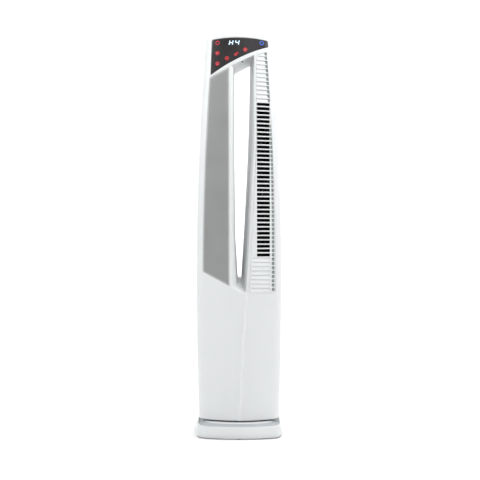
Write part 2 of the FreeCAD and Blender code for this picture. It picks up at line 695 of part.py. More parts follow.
def tip_switch_spring():
    """A coil spring between the plunger and the lid."""
    helix = Part.makeHelix(2.1, 8.4, 4.0)
    section = Part.Wire(Part.makeCircle(0.45, Vector(4.0, 0, 0), Vector(0, 1, 0)))
    coil = Part.Wire(helix.Edges).makePipeShell([section], True, False)
    return coil.translated(Vector(0, TIP_Y, 12.8))


# ---------------------------------------------------------------- the blower
SCROLL_START = 58.0       # radius of the scroll at its tongue
SCROLL_END = DUCT_RIGHT - BLOWER_X
TONGUE_ANGLE = 38.0


def scroll_point(angle, beyond=0.0):
    """(x, z) on the spiral at an angle from +X, or a little beyond it."""
    share = (angle - TONGUE_ANGLE) / (360.0 - TONGUE_ANGLE)
    radius = SCROLL_START + (SCROLL_END - SCROLL_START) * share + beyond
    turn = math.radians(angle)
    return BLOWER_X + radius * math.cos(turn), BLOWER_Z + radius * math.sin(turn)


def scroll_profile(grow):
    """The scroll's outline: a spiral round the impeller that opens into the upright duct."""
    points = [scroll_point(angle, grow) for angle in between(TONGUE_ANGLE, 360.0, 13)]
    end, start = points[-1], points[0]
    right_top, left_top = (end[0], DUCT_BOTTOM), (DUCT_LEFT - grow, DUCT_BOTTOM)
    # from the tongue the inner wall stands straight up
    return [points, [end, right_top], [right_top, left_top], [left_top, start]]


def scroll_half(y_open, y_closed):
    low, high = min(y_open, y_closed), max(y_open, y_closed)
    outer = prism(scroll_profile(SCROLL_WALL), low, high)
    inward = SCROLL_WALL if y_closed > y_open else -SCROLL_WALL
    inner_limits = sorted((y_open - inward, y_closed - inward))
    below_duct = box(-FAR, FAR, -FAR, FAR, 0, DUCT_BOTTOM + 1)
    half = outer.cut(prism(scroll_profile(0.0), *inner_limits).common(below_duct))
    ears = [rod(4.5, (x, low, z), (x, high, z)) for x, z in SCROLL_EARS]
    half = half.fuse([ear.cut(outer) for ear in ears])
    holes = [rod(SCREW_RADIUS + 0.1, (x, low - 1, z), (x, high + 1, z)) for x, z in SCROLL_EARS]
    return half.cut(Part.makeCompound(holes)).removeSplitter()


EAR_ANGLES = (120.0, 225.0, 315.0)
SCROLL_EARS = (*[scroll_point(angle, SCROLL_WALL + 2.6) for angle in EAR_ANGLES], (DUCT_LEFT - 4.6, 284.0))


def blower_scroll_front():
    half = scroll_half(SCROLL_MIDDLE, SCROLL_FRONT)
    return half.cut(rod(16.0, (BLOWER_X, -60, BLOWER_Z), (BLOWER_X, 0, BLOWER_Z)))


def blower_scroll_rear():
    half = scroll_half(SCROLL_MIDDLE, SCROLL_BACK)
    return half.cut(rod(INLET_RADIUS + 4.1, (BLOWER_X, 0, BLOWER_Z), (BLOWER_X, 60, BLOWER_Z)))


def blower_screws():
    return Part.makeCompound([screw((x, -40, z), (x, SCROLL_BACK, z)) for x, z in SCROLL_EARS])


def inlet_ring():
    """The bell-mouthed ring in the scroll's inlet."""
    lip, outside = 3.4, SCROLL_BACK + 4.0
    steps = [(0, lip), (4, lip), (4, SCROLL_BACK), (9, SCROLL_BACK), (9, outside), (5, outside)]
    steps.append((0, SCROLL_BACK - 1))
    profile = [Vector(INLET_RADIUS + out, 0, y) for out, y in steps]
    face = Part.Face(Part.makePolygon(profile + [profile[0]]))
    turned = face.revolve(Vector(0, 0, 0), Vector(0, 0, 1), 360)
    return along_y(turned)


def along_y(solid):
    """Turns a solid made about Z to lie about the blower's axis, with its Z as Y."""
    turned = solid.copy()
    turned.rotate(Vector(0, 0, 0), Vector(1, 0, 0), -90)
    return turned.translated(Vector(BLOWER_X, 0, BLOWER_Z))


BLADES = 32
BLADE_INNER = 42.5


def impeller():
    """A squirrel-cage wheel: hub, back plate, forward-curved blades and a front ring."""
    back, front = SCROLL_FRONT + 4.0, 1.6
    plate = rod(IMPELLER_RADIUS, (0, 0, back), (0, 0, back + 1.6))
    hub = rod(9.0, (0, 0, back), (0, 0, back + 14))
    rim = ring(IMPELLER_RADIUS, IMPELLER_RADIUS - 3.0, (0, 0, front - 3.0), (0, 0, front))
    blade = ring(12.0, 11.0, (BLADE_INNER + 4.0, 9.6, back), (BLADE_INNER + 4.0, 9.6, front))
    annulus = ring(IMPELLER_RADIUS, BLADE_INNER, (0, 0, back), (0, 0, front))
    blade = blade.common(annulus).common(box(BLADE_INNER - 9, 60, -6, 9, back, front))
    blades = []
    for i in range(BLADES):
        turned = blade.copy()
        turned.rotate(Vector(0, 0, 0), Vector(0, 0, 1), i * 360.0 / BLADES)
        blades.append(turned)
    wheel = plate.fuse([hub, rim, *blades]).cut(rod(SHAFT_RADIUS, (0, 0, -60), (0, 0, 20)))
    return along_y(wheel)


MOTOR_BACK, MOTOR_FRONT = -50.0, -74.0
BUSHING_RADIUS = 5.5


def motor_shaft():
    return along_y(rod(SHAFT_RADIUS, (0, 0, MOTOR_FRONT - 3), (0, 0, -26)))


def motor_rotor():
    return along_y(ring(14.0, SHAFT_RADIUS, (0, 0, -70), (0, 0, -54)))


def motor_stator():
    """A square laminated core with the rotor's bore, open at the top for the winding."""
    core = box(-26, 26, -36, 22, -70, -54)
    window = [box(-18, -8.5, -29, -17, -80, -40), box(8.5, 18, -29, -17, -80, -40)]
    return along_y(core.cut(Part.makeCompound(window)).cut(rod(14.6, (0, 0, -80), (0, 0, -40))))


def motor_winding():
    """The coil wound round the core's leg."""
    coil = box(-17.5, 17.5, -28.5, -17.5, -74, -50).cut(box(-8.5, 8.5, -40, 0, -70, -54))
    return along_y(coil)


def motor_bracket(y0, y1):
    bar = box(-24, 24, -7, 7, y0, y1).fuse(rod(9.0, (0, 0, y0), (0, 0, y1)))
    return bar.cut(rod(BUSHING_RADIUS, (0, 0, -90), (0, 0, 0))).removeSplitter()


def motor_bracket_front():
    legs = [box(side * 24 - 2, side * 24 + 2, -7, 7, MOTOR_FRONT - 1.5, -70) for side in (-1, 1)]
    return along_y(motor_bracket(MOTOR_FRONT - 1.5, MOTOR_FRONT + 0.5).fuse(legs).removeSplitter())


def motor_bracket_rear():
    """It also bolts the motor to the scroll."""
    legs = [box(side * 24 - 2, side * 24 + 2, -7, 7, -54, SCROLL_FRONT) for side in (-1, 1)]
    return along_y(motor_bracket(MOTOR_BACK, MOTOR_BACK + 2).fuse(legs).removeSplitter())


def motor_bushings():
    places = ((MOTOR_FRONT - 1.5, MOTOR_FRONT + 2.0), (MOTOR_BACK - 1.5, MOTOR_BACK + 2))
    bore = SHAFT_RADIUS + SHAFT_CLEARANCE
    bushes = [ring(BUSHING_RADIUS, bore, (0, 0, y0), (0, 0, y1)) for y0, y1 in places]
    return along_y(Part.makeCompound(bushes))


# ---------------------------------------------------------------- the heater and its duct
DUCT_WALL = 2.0


def hot_air_duct():
    """The upright channel behind the outlet: open to the louvres along the heater, closed below."""
    x0, x1 = DUCT_LEFT - DUCT_WALL, DUCT_RIGHT + DUCT_WALL
    channel = box(x0, x1, SCROLL_FRONT, SCROLL_BACK, DUCT_BOTTOM + 0.3, DUCT_TOP)
    channel = channel.cut(box(DUCT_LEFT, DUCT_RIGHT, SCROLL_FRONT + DUCT_WALL, SCROLL_BACK - DUCT_WALL,
                              0, DUCT_TOP - DUCT_WALL))
    lead_hole = box(54, 66, 0, FAR, 398, 432)
    outlet = box(DUCT_LEFT, DUCT_RIGHT, -FAR, -30, HEATER_BOTTOM - 12, DUCT_TOP - DUCT_WALL)
    return channel.cut(outlet).cut(lead_hole)


FIN_WIDTH, STONE_WIDTH, STRIP_WIDTH = 8.6, 2.4, 0.5
STACK_LEFT = (DUCT_LEFT + DUCT_RIGHT - 3 * FIN_WIDTH - 2 * STONE_WIDTH - 4 * STRIP_WIDTH) / 2


def stack_layers():
    """Left faces of the fin columns, strips and stones, from left to right."""
    order = "fin strip stone strip fin strip stone strip fin".split()
    widths = {"fin": FIN_WIDTH, "strip": STRIP_WIDTH, "stone": STONE_WIDTH}
    places = {"fin": [], "strip": [], "stone": []}
    x = STACK_LEFT
    for name in order:
        places[name].append(x)
        x += widths[name]
    return places


def heater_fins():
    """Three columns of corrugated aluminium."""
    folds, thickness = 90, 0.8
    columns = []
    for x in stack_layers()["fin"]:
        zs = between(HEATER_BOTTOM, HEATER_TOP, folds)
        near = [Vector(x + (FIN_WIDTH - thickness if i % 2 else 0.0), 0, z) for i, z in enumerate(zs)]
        far = [point + Vector(thickness, 0, 0) for point in reversed(near)]
        ribbon = Part.Face(Part.makePolygon(near + far + [near[0]]))
        column = ribbon.extrude(Vector(0, HEATER_BACK - HEATER_FRONT, 0))
        columns.append(column.translated(Vector(0, HEATER_FRONT, 0)))
    return Part.makeCompound(columns)


def heater_electrodes():
    """Four contact strips with tabs below."""
    strips = []
    for i, x in enumerate(stack_layers()["strip"]):
        low = HEATER_BOTTOM - (14.0 if i in (0, 3) else 0.0)
        strip = box(x, x + STRIP_WIDTH, HEATER_FRONT, HEATER_BACK, HEATER_BOTTOM, HEATER_TOP)
        tab = box(x, x + STRIP_WIDTH, HEATER_FRONT + 8, HEATER_FRONT + 14, low, HEATER_TOP)
        strips.append(strip.fuse(tab).removeSplitter())
    return Part.makeCompound(strips)


def heater_stones():
    """The ceramic elements, two columns of thin blocks."""
    length = 27.0
    count = int((HEATER_TOP - HEATER_BOTTOM) // (length + 1))
    stones = []
    for x in stack_layers()["stone"]:
        for i in range(count):
            z = HEATER_BOTTOM + 4 + i * (length + 1)
            stones.append(box(x, x + STONE_WIDTH, HEATER_FRONT + 1, HEATER_BACK - 1, z, z + length))
    return Part.makeCompound(stones)


def heater_end_blocks():
    blocks = []
    for z0, z1 in ((HEATER_BOTTOM - 9, HEATER_BOTTOM), (HEATER_TOP, HEATER_TOP + 9)):
        blocks.append(box(DUCT_LEFT, DUCT_RIGHT, HEATER_FRONT - 2, HEATER_BACK + 2, z0, z1))
    slots = [box(x - 0.1, x + STRIP_WIDTH + 0.1, HEATER_FRONT + 7.9, HEATER_FRONT + 14.1, 0, HEATER_BOTTOM)
             for x in stack_layers()["strip"]]
    return Part.makeCompound([block.cut(Part.makeCompound(slots)) for block in blocks])


def thermostat():
    """The over-heat cut-out: a disc in a cup, on the duct's back wall."""
    z = HEATER_BOTTOM + 150
    x = (DUCT_LEFT + DUCT_RIGHT) / 2
    wall_y = SCROLL_BACK - DUCT_WALL
    cup = rod(8.0, (x, wall_y - 8, z), (x, wall_y, z))
    flange = box(x - 12, x + 12, wall_y - 2, wall_y, z - 5, z + 5)
    return joined([cup, flange])


def thermal_fuse():
    x = DUCT_LEFT + 6
    return rod(2.0, (x, -6, HEATER_BOTTOM + 40), (x, -6, HEATER_BOTTOM + 54))


# ---------------------------------------------------------------- electrics
POWER_BOARD = (-88.0, -30.0, -45.0, 45.0)
POWER_BOARD_Z = 50.0


def power_board():
    x0, x1, y0, y1 = POWER_BOARD
    board = box(x0, x1, y0, y1, POWER_BOARD_Z, POWER_BOARD_Z + 1.6)
    spots = [(x, y) for x in (x0 + 6, x1 - 6) for y in (y0 + 6, y1 - 6)]
    posts = [rod(3.0, (x, y, FLOOR_TOP), (x, y, POWER_BOARD_Z)) for x, y in spots]
    return joined([board, *posts])


def power_relays():
    z = POWER_BOARD_Z + 1.6
    return Part.makeCompound([box(-84, -68, y, y + 21, z, z + 15.5) for y in (-30.0, -5.0)])


def power_capacitor():
    z = POWER_BOARD_Z + 1.6
    return rod(6.5, (-58, 24, z), (-58, 24, z + 22))


def terminal_block():
    z = POWER_BOARD_Z + 1.6
    block = box(-46, -34, -32, 8, z, z + 12)
    holes = [rod(1.8, (-50, y, z + 5), (-30, y, z + 5)) for y in between(-27.0, 3.0, 4)]
    return block.cut(Part.makeCompound(holes))


def lead(points, radius):
    """A wire along straight runs, with an arc at each bend as large as the runs allow."""
    corners = [Vector(*p) for p in points]
    edges = []
    start = corners[0]
    for before, at, after in zip(corners, corners[1:], corners[2:]):
        into, out = (at - before).normalize(), (after - at).normalize()
        reach = 0.45 * min((at - before).Length, (after - at).Length)
        turn = into.getAngle(out)
        first, last = at - into * reach, at + out * reach
        bend_radius = reach / math.tan(turn / 2)
        middle_way = (out - into).normalize()
        middle = at + middle_way * (bend_radius / math.cos(turn / 2) - bend_radius)
        edges.append(Part.LineSegment(start, first).toShape())
        edges.append(Part.Arc(first, middle, last).toShape())
        start = last
    edges.append(Part.LineSegment(start, corners[-1]).toShape())
    path = Part.Wire(edges)
    section = Part.Wire(Part.makeCircle(radius, corners[0], edges[0].tangentAt(edges[0].FirstParameter)))
    return path.makePipeShell([section], True, False)


LEAD_MEETING_Z = 30.0     # where the leads of the base and the tower meet, on the swivel axis


def base_lead():
    """From the cord inlet round the swing motor to the swivel's axis."""
    return lead([(0, 102, INLET_Z), (0, 94, 16), (22, 88, 13), (38, 72, 12), (41, 48, 11), (34, 26, 10),
                 (18, 9, 9), (2, 2, 12), (0, 0, 24), (0, 0, LEAD_MEETING_Z)], 2.8)


def tower_lead():
    """From the swivel's axis to the terminal block."""
    return lead([(0, 0, LEAD_MEETING_Z), (0, 0, 46), (-2, -5, 58), (-12, -14, 61), (-33, -17, 58.6)], 2.4)


def heater_lead():
    """From the terminal block up beside the blower and through the duct's back wall."""
    return lead([(-33, -7, 58.6), (-18, -4, 62), (0, 20, 68), (30, 30, 78), (66, 30, 92), (88, 26, 120),
                 (91, 22, 170), (86, 24, 225), (74, 22, 280), (70, 18, 340), (62, 17, 396), (60, 2, 424),
                 (60.5, -18, 430)], 1.8)


def panel_lead():
    """From the terminal block up the left side to the touch panel's board."""
    return lead([(-33, 3, 58.6), (-22, 10, 64), (-20, 34, 76), (-50, 44, 84), (-82, 42, 104),
                 (-88, 34, 160), (-90, 26, 220), (-88, 22, 290), (-80, 20, 360), (-78, 16, 420),
                 (-77, 17, 480), (-78, 14, 540), (-76, 12, 600), (-77, 10, 660), (-74, 9, 720),
                 (-72, 4, 780), (-66, -4, 830), (-60, -16, 870), (-56, -26, 892), (-50, -38.5, 908)], 1.6)


# ---------------------------------------------------------------- output
PIECES = (
    front_shell, rear_shell, case_screws, slot_liner, remote_eye, control_lens, lens_carrier, icon_lights,
    display_module, control_board, intake_grille, intake_foam, louvre_grille, filter_cover, rear_foam,
    tower_floor, swivel_washer, pivot_retainer, gear_sector, swing_pinion, swing_motor,
    base_housing, cord_inlet_bush, base_bottom_plate, base_screws, rubber_feet, ballast_plate,
    tip_switch_body, tip_switch_plunger, tip_switch_spring,
    blower_scroll_front, blower_scroll_rear, blower_screws, inlet_ring, impeller, motor_shaft, motor_rotor,
    motor_stator, motor_winding, motor_bracket_front, motor_bracket_rear, motor_bushings,
    hot_air_duct, heater_fins, heater_electrodes, heater_stones, heater_end_blocks, thermostat, thermal_fuse,
    power_board, power_relays, power_capacitor, terminal_block, base_lead, tower_lead, heater_lead, panel_lead,
)


def main():
    os.makedirs("parts", exist_ok=True)
    for piece in PIECES:
        piece().exportStep(f"parts/{piece.__name__}.step")


main()
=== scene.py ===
import json
import math

import bmesh
import bpy
import numpy as np
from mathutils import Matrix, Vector
from mathutils.geometry import delaunay_2d_cdt


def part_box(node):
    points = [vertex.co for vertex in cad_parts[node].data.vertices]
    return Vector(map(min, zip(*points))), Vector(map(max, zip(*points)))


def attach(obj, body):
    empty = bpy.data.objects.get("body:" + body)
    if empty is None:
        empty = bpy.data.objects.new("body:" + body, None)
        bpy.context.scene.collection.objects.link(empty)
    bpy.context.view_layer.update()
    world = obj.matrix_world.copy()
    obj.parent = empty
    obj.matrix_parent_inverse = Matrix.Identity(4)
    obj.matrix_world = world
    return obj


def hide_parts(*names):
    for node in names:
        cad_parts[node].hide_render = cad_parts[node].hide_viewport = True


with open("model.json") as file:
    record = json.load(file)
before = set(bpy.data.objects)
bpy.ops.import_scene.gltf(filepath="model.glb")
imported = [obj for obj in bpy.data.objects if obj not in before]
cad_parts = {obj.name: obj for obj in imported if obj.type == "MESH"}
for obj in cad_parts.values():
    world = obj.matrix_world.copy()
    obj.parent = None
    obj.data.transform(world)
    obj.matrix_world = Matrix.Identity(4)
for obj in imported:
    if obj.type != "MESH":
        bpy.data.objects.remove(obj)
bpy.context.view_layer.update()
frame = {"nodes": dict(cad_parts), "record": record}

MM = 0.001
stack = np.column_stack

# ---- the casing's form, in metres
SHELL_LOW, SHELL_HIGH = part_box("front_shell")
BOTTOM, TOP = SHELL_LOW.z, SHELL_HIGH.z
HALF_WIDTH = SHELL_HIGH.x
WIDEST_Z = 370 * MM
SIDE_RADIUS = 7720 * MM
FRONT_DEPTH, FRONT_LEAN = 86 * MM, 22 * MM
BACK_DEPTH, BACK_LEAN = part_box("rear_shell")[1].y, 16 * MM
TOP_ROUND, BOTTOM_ROUND = 8 * MM, 2.4 * MM
PARTING_Y = -20 * MM
SEAM = 0.2 * MM
STRIP = 17 * MM
CORNER_WIDTH, CORNER_DEPTH = 21 * MM, 24 * MM
REAR_CORNER_WIDTH, REAR_CORNER_DEPTH = 34 * MM, 30 * MM
REAR_BOW = 9 * MM
CORNER_SPAN, SIDE_SPAN = 33 * MM, 16 * MM       # of the flattened casing wall
REAR_CORNER_SPAN, REAR_SIDE_SPAN = 47 * MM, 46 * MM
FRONT_ROUND = (CORNER_WIDTH, CORNER_SPAN, SIDE_SPAN)
REAR_ROUND = (REAR_CORNER_WIDTH, REAR_CORNER_SPAN, REAR_SIDE_SPAN)
FRONT_BOW, FRONT_BOW_GAIN = 11 * MM, 3 * MM
CREASE_SLOPE, CREASE_TOP_X = 0.058, 38.5 * MM
RIDGE_PROUD, RIDGE_TOP_Z, RIDGE_FADE = 4 * MM, 880 * MM, 500 * MM
BEAD_PROUD, BEAD_WIDTH = 2.3 * MM, 2.3 * MM     # the fine bead along the crease
BEAD_TOP_Z, BEAD_FADE = 340 * MM, 6 * MM
WALL_LOW_Z, WALL_HIGH_Z = BOTTOM + BOTTOM_ROUND, TOP - TOP_ROUND


def half_width(z):
    return HALF_WIDTH - (z - WIDEST_Z) ** 2 / (2 * SIDE_RADIUS)


def rise(z):
    return (z - BOTTOM) / (TOP - BOTTOM)


def front_tip(z):
    return -FRONT_DEPTH + FRONT_LEAN * rise(z) * np.abs(rise(z))


def back_tip(z):
    return BACK_DEPTH - BACK_LEAN * rise(z) * np.abs(rise(z))


def crease_x(z):
    return np.minimum(CREASE_TOP_X, CREASE_SLOPE * (z - BOTTOM))


def crease_proud(z):
    return RIDGE_PROUD * np.clip((RIDGE_TOP_Z - z) / RIDGE_FADE, 0, 1)


def bow_radius(half_chord, bow):
    return (half_chord ** 2 + bow ** 2) / (2 * bow)


def wall_xy(q, w, face_y, control, rounding, parting):
    """(x, y) along the flattened wall: the face, the rounded corner with its three control depths, and the side."""
    width, corner_span, side_span = rounding
    start, bend, end = control
    chord = w - width
    side = np.where(q < 0, -1.0, 1.0)
    a = np.abs(q)
    t = np.clip((a - chord) / corner_span, 0, 1)
    s = np.clip((a - chord - corner_span) / side_span, 0, 1)
    corner_x = w - (1 - t) ** 2 * width
    corner_y = (1 - t) ** 2 * start + 2 * t * (1 - t) * bend + t ** 2 * end
    x = np.where(a <= chord, q, side * corner_x)
    y = np.where(a <= chord, face_y, corner_y)
    return x, np.where(s > 0, end + (parting - end) * s, y)


def front_point(q, z, inset=0.0):
    """(x, y) of the casing's front half. q runs over the flattened wall: x on the front, then corner and side."""
    q, z, inset = np.broadcast_arrays(np.asarray(q, float), np.asarray(z, float), np.asarray(inset, float))
    side = np.where(q < 0, -1.0, 1.0)
    w = half_width(z) - inset
    chord = w - CORNER_WIDTH
    radius = bow_radius(chord, FRONT_BOW + FRONT_BOW_GAIN * rise(z))
    crease = crease_x(z)
    proud = crease_proud(z)

    def surface(x):
        share = np.where(x < crease, (x + chord) / (crease + chord), (chord - x) / (chord - crease))
        arc = front_tip(z) + inset + radius - np.sqrt(np.maximum(radius ** 2 - x ** 2, 0))
        fade = np.clip((BEAD_TOP_Z - z) / BEAD_FADE, 0, 1)
        bead = BEAD_PROUD * np.exp(-((x - crease) / BEAD_WIDTH) ** 2) * fade
        return arc - proud * np.clip(share, 0, 1) - bead

    y_start = surface(side * chord)
    slope = chord / np.sqrt(radius ** 2 - chord ** 2) + proud / (chord - side * crease)
    y_bend = y_start + slope * CORNER_WIDTH
    control = (y_start, y_bend, y_bend + CORNER_DEPTH)
    return wall_xy(q, w, surface(np.clip(q, -chord, chord)), control, FRONT_ROUND, PARTING_Y - SEAM)


def rear_point(q, z, inset=0.0):
    """(x, y) of the casing's rear half, on its own flattened wall."""
    q, z, inset = np.broadcast_arrays(np.asarray(q, float), np.asarray(z, float), np.asarray(inset, float))
    w = half_width(z) - inset
    chord = w - REAR_CORNER_WIDTH
    radius = bow_radius(chord, REAR_BOW)
    back = back_tip(z) - inset
    y_start = back - REAR_BOW
    y_bend = y_start - chord / np.sqrt(radius ** 2 - chord ** 2) * REAR_CORNER_WIDTH
    arc = back - radius + np.sqrt(np.maximum(radius ** 2 - np.clip(np.abs(q), 0, chord) ** 2, 0))
    return wall_xy(q, w, arc, (y_start, y_bend, y_bend - REAR_CORNER_DEPTH), REAR_ROUND, PARTING_Y + SEAM)


def wall_point(q, z, inset=0.0, rear=False):
    return (rear_point if rear else front_point)(q, z, inset)


def flat_q(x, z, rear=False):
    """Where a point of the front or rear lies on the flattened wall."""
    width, span, _ = REAR_ROUND if rear else FRONT_ROUND
    w = half_width(z)
    chord = w - width
    t = 1 - np.sqrt(np.clip((w - np.abs(x)) / width, 0, 1))
    return np.where(np.abs(x) <= chord, x, np.sign(x) * (chord + span * t))


def surface_y(x, z, rear=False):
    return wall_point(flat_q(x, z, rear), z, rear=rear)[1]


def on_surface(loop, inwards=0.0, rear=False):
    """A flat outline's points on the casing's surface, or this far inside it."""
    y = surface_y(loop[:, 0], loop[:, 1], rear) + (-inwards if rear else inwards)
    return stack([loop[:, 0], y, loop[:, 1]])


# ---- flat outlines
def resample(loop, step):
    """A closed outline, as points a step apart."""
    loop = np.asarray(loop, float)
    closed = np.vstack([loop, loop[:1]])
    lengths = np.r_[0, np.cumsum(np.linalg.norm(np.diff(closed, axis=0), axis=1))]
    count = max(8, int(round(lengths[-1] / step)))
    at = np.arange(count) * lengths[-1] / count
    return stack([np.interp(at, lengths, closed[:, i]) for i in (0, 1)])


def smoothed(loop, times):
    for _ in range(times):
        loop = (np.roll(loop, 1, 0) + 2 * loop + np.roll(loop, -1, 0)) / 4
    return loop


def evened(width, times):
    for _ in range(times):
        width = (np.roll(width, 1) + width + np.roll(width, -1)) / 3
    return width


def soften(loop, step, times):
    """The outline with its corners rounded."""
    return smoothed(resample(loop, step), times)


def signed_area(loop):
    x, z = loop.T
    return 0.5 * np.sum(x * np.roll(z, -1) - np.roll(x, -1) * z)


def grown(loop, by):
    """The outline moved outwards by a distance."""
    along = np.roll(loop, -1, 0) - np.roll(loop, 1, 0)
    normal = stack([along[:, 1], -along[:, 0]])
    normal /= np.linalg.norm(normal, axis=1)[:, None]
    return loop + normal * by * np.sign(signed_area(loop))


def inside(points, loop):
    """Which points lie in a closed outline."""
    x, y = points[:, 0][:, None], points[:, 1][:, None]
    x0, y0 = loop[:, 0][None], loop[:, 1][None]
    x1, y1 = np.roll(loop[:, 0], -1)[None], np.roll(loop[:, 1], -1)[None]
    crosses = (y0 > y) != (y1 > y)
    with np.errstate(divide="ignore", invalid="ignore"):
        at = x0 + (y - y0) * (x1 - x0) / (y1 - y0)
    return (np.sum(crosses & (x < at), axis=1) % 2).astype(bool)


def arc_through(a, b, c, count):
    """Points on the arc from a through b to c."""
    (ax, ay), (bx, by), (cx, cy) = a, b, c
    d = 2 * (ax * (by - cy) + bx * (cy - ay) + cx * (ay - by))
    aa, bb, cc = ax ** 2 + ay ** 2, bx ** 2 + by ** 2, cx ** 2 + cy ** 2
    ux = (aa * (by - cy) + bb * (cy - ay) + cc * (ay - by)) / d
    uy = (aa * (cx - bx) + bb * (ax - cx) + cc * (bx - ax)) / d
    radius = math.hypot(ax - ux, ay - uy)
    start, end = math.atan2(ay - uy, ax - ux), math.atan2(cy - uy, cx - ux)
    turn = (end - start + math.pi) % (2 * math.pi) - math.pi
    angles = start + turn * np.linspace(0, 1, count)
    return stack([ux + radius * np.cos(angles), uy + radius * np.sin(angles)])


def arc_line(x, z, radius, start, end, count=24):
    angles = np.radians(np.linspace(start, end, count))
    return stack([x + radius * np.cos(angles), z + radius * np.sin(angles)])


def circle(x, z, radius, count):
    return arc_line(x, z, radius, 0, 360, count + 1)[:-1]


def rounded_rectangle(x0, x1, z0, z1, radius, per_corner=6):
    left, right, low, high = x0 + radius, x1 - radius, z0 + radius, z1 - radius
    centres = ((right, high, 0), (left, high, 90), (left, low, 180), (right, low, 270))
    return np.vstack([arc_line(x, z, radius, turn, turn + 90, per_corner) for x, z, turn in centres])


def side_edge(side, z0, z1, count=40):
    z = np.linspace(z0, z1, count)
    return stack([side * (half_width(z) - STRIP), z])


LENS_TOP_ARC = np.array([(-67, 965), (0, 966.8), (71, 962.8)]) * MM
LENS_LOW_ARC = np.array([(72.5, 947.5), (2.4, 918), (-70, 877)]) * MM
MESH_LEFT_Z = 396 * MM, 870.5 * MM
MESH_RIGHT_CORNERS = np.array([(-24.5, 894), (-23, 362)]) * MM
LOUVRE_FOOT_Z, LOUVRE_KNEE_Z, LOUVRE_HEAD_Z = 345 * MM, 702 * MM, 935 * MM
LOUVRE_FOOT_X = crease_x(LOUVRE_FOOT_Z) + 6.5 * MM
LOUVRE_LEFT_X, LOUVRE_LEFT_TOP_Z = 42 * MM, 923 * MM
LOUVRE_LEFT_CORNERS = [(LOUVRE_FOOT_X, LOUVRE_FOOT_Z), (LOUVRE_LEFT_X, LOUVRE_KNEE_Z),
                       (LOUVRE_LEFT_X, LOUVRE_LEFT_TOP_Z)]
LENS_LOOP = soften(np.vstack([arc_through(*LENS_TOP_ARC, 24), arc_through(*LENS_LOW_ARC, 30)]), 1.5 * MM, 3)
MESH_LOOP = soften(np.vstack([side_edge(-1, *MESH_LEFT_Z), MESH_RIGHT_CORNERS]), 2.5 * MM, 1)
LOUVRE_LOOP = soften(np.vstack([side_edge(1, LOUVRE_HEAD_Z, LOUVRE_FOOT_Z), LOUVRE_LEFT_CORNERS]), 2.5 * MM, 1)


# ---- meshes
def add_object(name, data):
    item = bpy.data.objects.new(name, data)
    bpy.context.scene.collection.objects.link(item)
    return item


def mesh_data(name, verts, faces):
    data = bpy.data.meshes.new(name)
    data.from_pydata([tuple(v) for v in verts], [], [tuple(int(i) for i in f) for f in faces])
    return data


def add_mesh(name, verts, faces, body, material, slot, replaces=(), smooth_angle=40.0, weld=2e-5):
    """A mesh piece that rides on a CAD body."""
    data = mesh_data(name, verts, faces)
    piece = add_object(name, data)
    work = bmesh.new()
    work.from_mesh(data)
    bmesh.ops.remove_doubles(work, verts=work.verts, dist=weld)
    bmesh.ops.dissolve_degenerate(work, dist=1e-7, edges=work.edges)
    bmesh.ops.recalc_face_normals(work, faces=work.faces)
    limit = math.radians(smooth_angle)
    for face in work.faces:
        face.smooth = True
    for edge in work.edges:
        edge.smooth = len(edge.link_faces) != 2 or edge.calc_face_angle(0) < limit
    work.to_mesh(data)
    work.free()
    data.materials.append(material)
    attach(piece, body)
    if replaces:
        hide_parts(*replaces)
    return piece


class Builder:
    """Collects vertices and faces for one piece."""

    def __init__(self):
        self.verts = []
        self.faces = []
        self.count = 0

    def add(self, points):
        points = np.asarray(points, float)
        start = self.count
        self.verts.append(points)
        self.count += len(points)
        return start

    def rows(self, rows, closed=True):
        """Quads between successive rows of points."""
        starts = [self.add(row) for row in rows]
        n = len(rows[0])
        for a, b in zip(starts, starts[1:]):
            for i in range(n if closed else n - 1):
                j = (i + 1) % n
                self.faces.append((a + i, a + j, b + j, b + i))

    def fan(self, row):
        """Closes a ring of points with a fan."""
        start = self.add(np.vstack([row, np.mean(row, axis=0)]))
        n = len(row)
        for i in range(n):
            self.faces.append((start + i, start + (i + 1) % n, start + n))

    def piece(self, name, body, material, **options):
        return add_mesh(name, np.vstack(self.verts), self.faces, body, material, **options)


GRID_CLEARANCE = 0.45         # of the grid's spacing, between its points and the outlines


def triangulated(outer, holes, spacing, lines=()):
    """Triangles over a flat outline with holes, with inner points on a grid and edges along the given lines."""
    loops = [outer, *holes]
    low, high = outer.min(0), outer.max(0)
    grid_x = np.arange(low[0] + spacing[0] / 2, high[0], spacing[0])
    grid_z = np.arange(low[1] + spacing[1] / 2, high[1], spacing[1])
    grid = np.array([(x, z) for z in grid_z for x in grid_x])
    keep = inside(grid, outer)
    for hole in holes:
        keep &= ~inside(grid, hole)
    grid = grid[keep]
    fixed = np.vstack([*loops, *lines])
    clear = GRID_CLEARANCE * min(spacing)
    grid = [p for p in grid if np.min(np.sum((fixed - p) ** 2, axis=1)) >= clear ** 2]
    coords, edges = [], []
    for loop in loops:
        start = len(coords)
        coords += [Vector(p) for p in loop]
        edges += [(start + i, start + (i + 1) % len(loop)) for i in range(len(loop))]
    for line in lines:
        start = len(coords)
        coords += [Vector(p) for p in line]
        edges += [(start + i, start + i + 1) for i in range(len(line) - 1)]
    coords += [Vector(p) for p in grid]
    points, _, triangles, *_ = delaunay_2d_cdt(coords, edges, [], 0, 1e-7)
    points = np.array([tuple(p) for p in points])
    triangles = np.array([t for t in triangles if len(t) == 3])
    centres = points[triangles].mean(1)
    keep = inside(centres, outer)
    for hole in holes:
        keep &= ~inside(centres, hole)
    return points, triangles[keep]


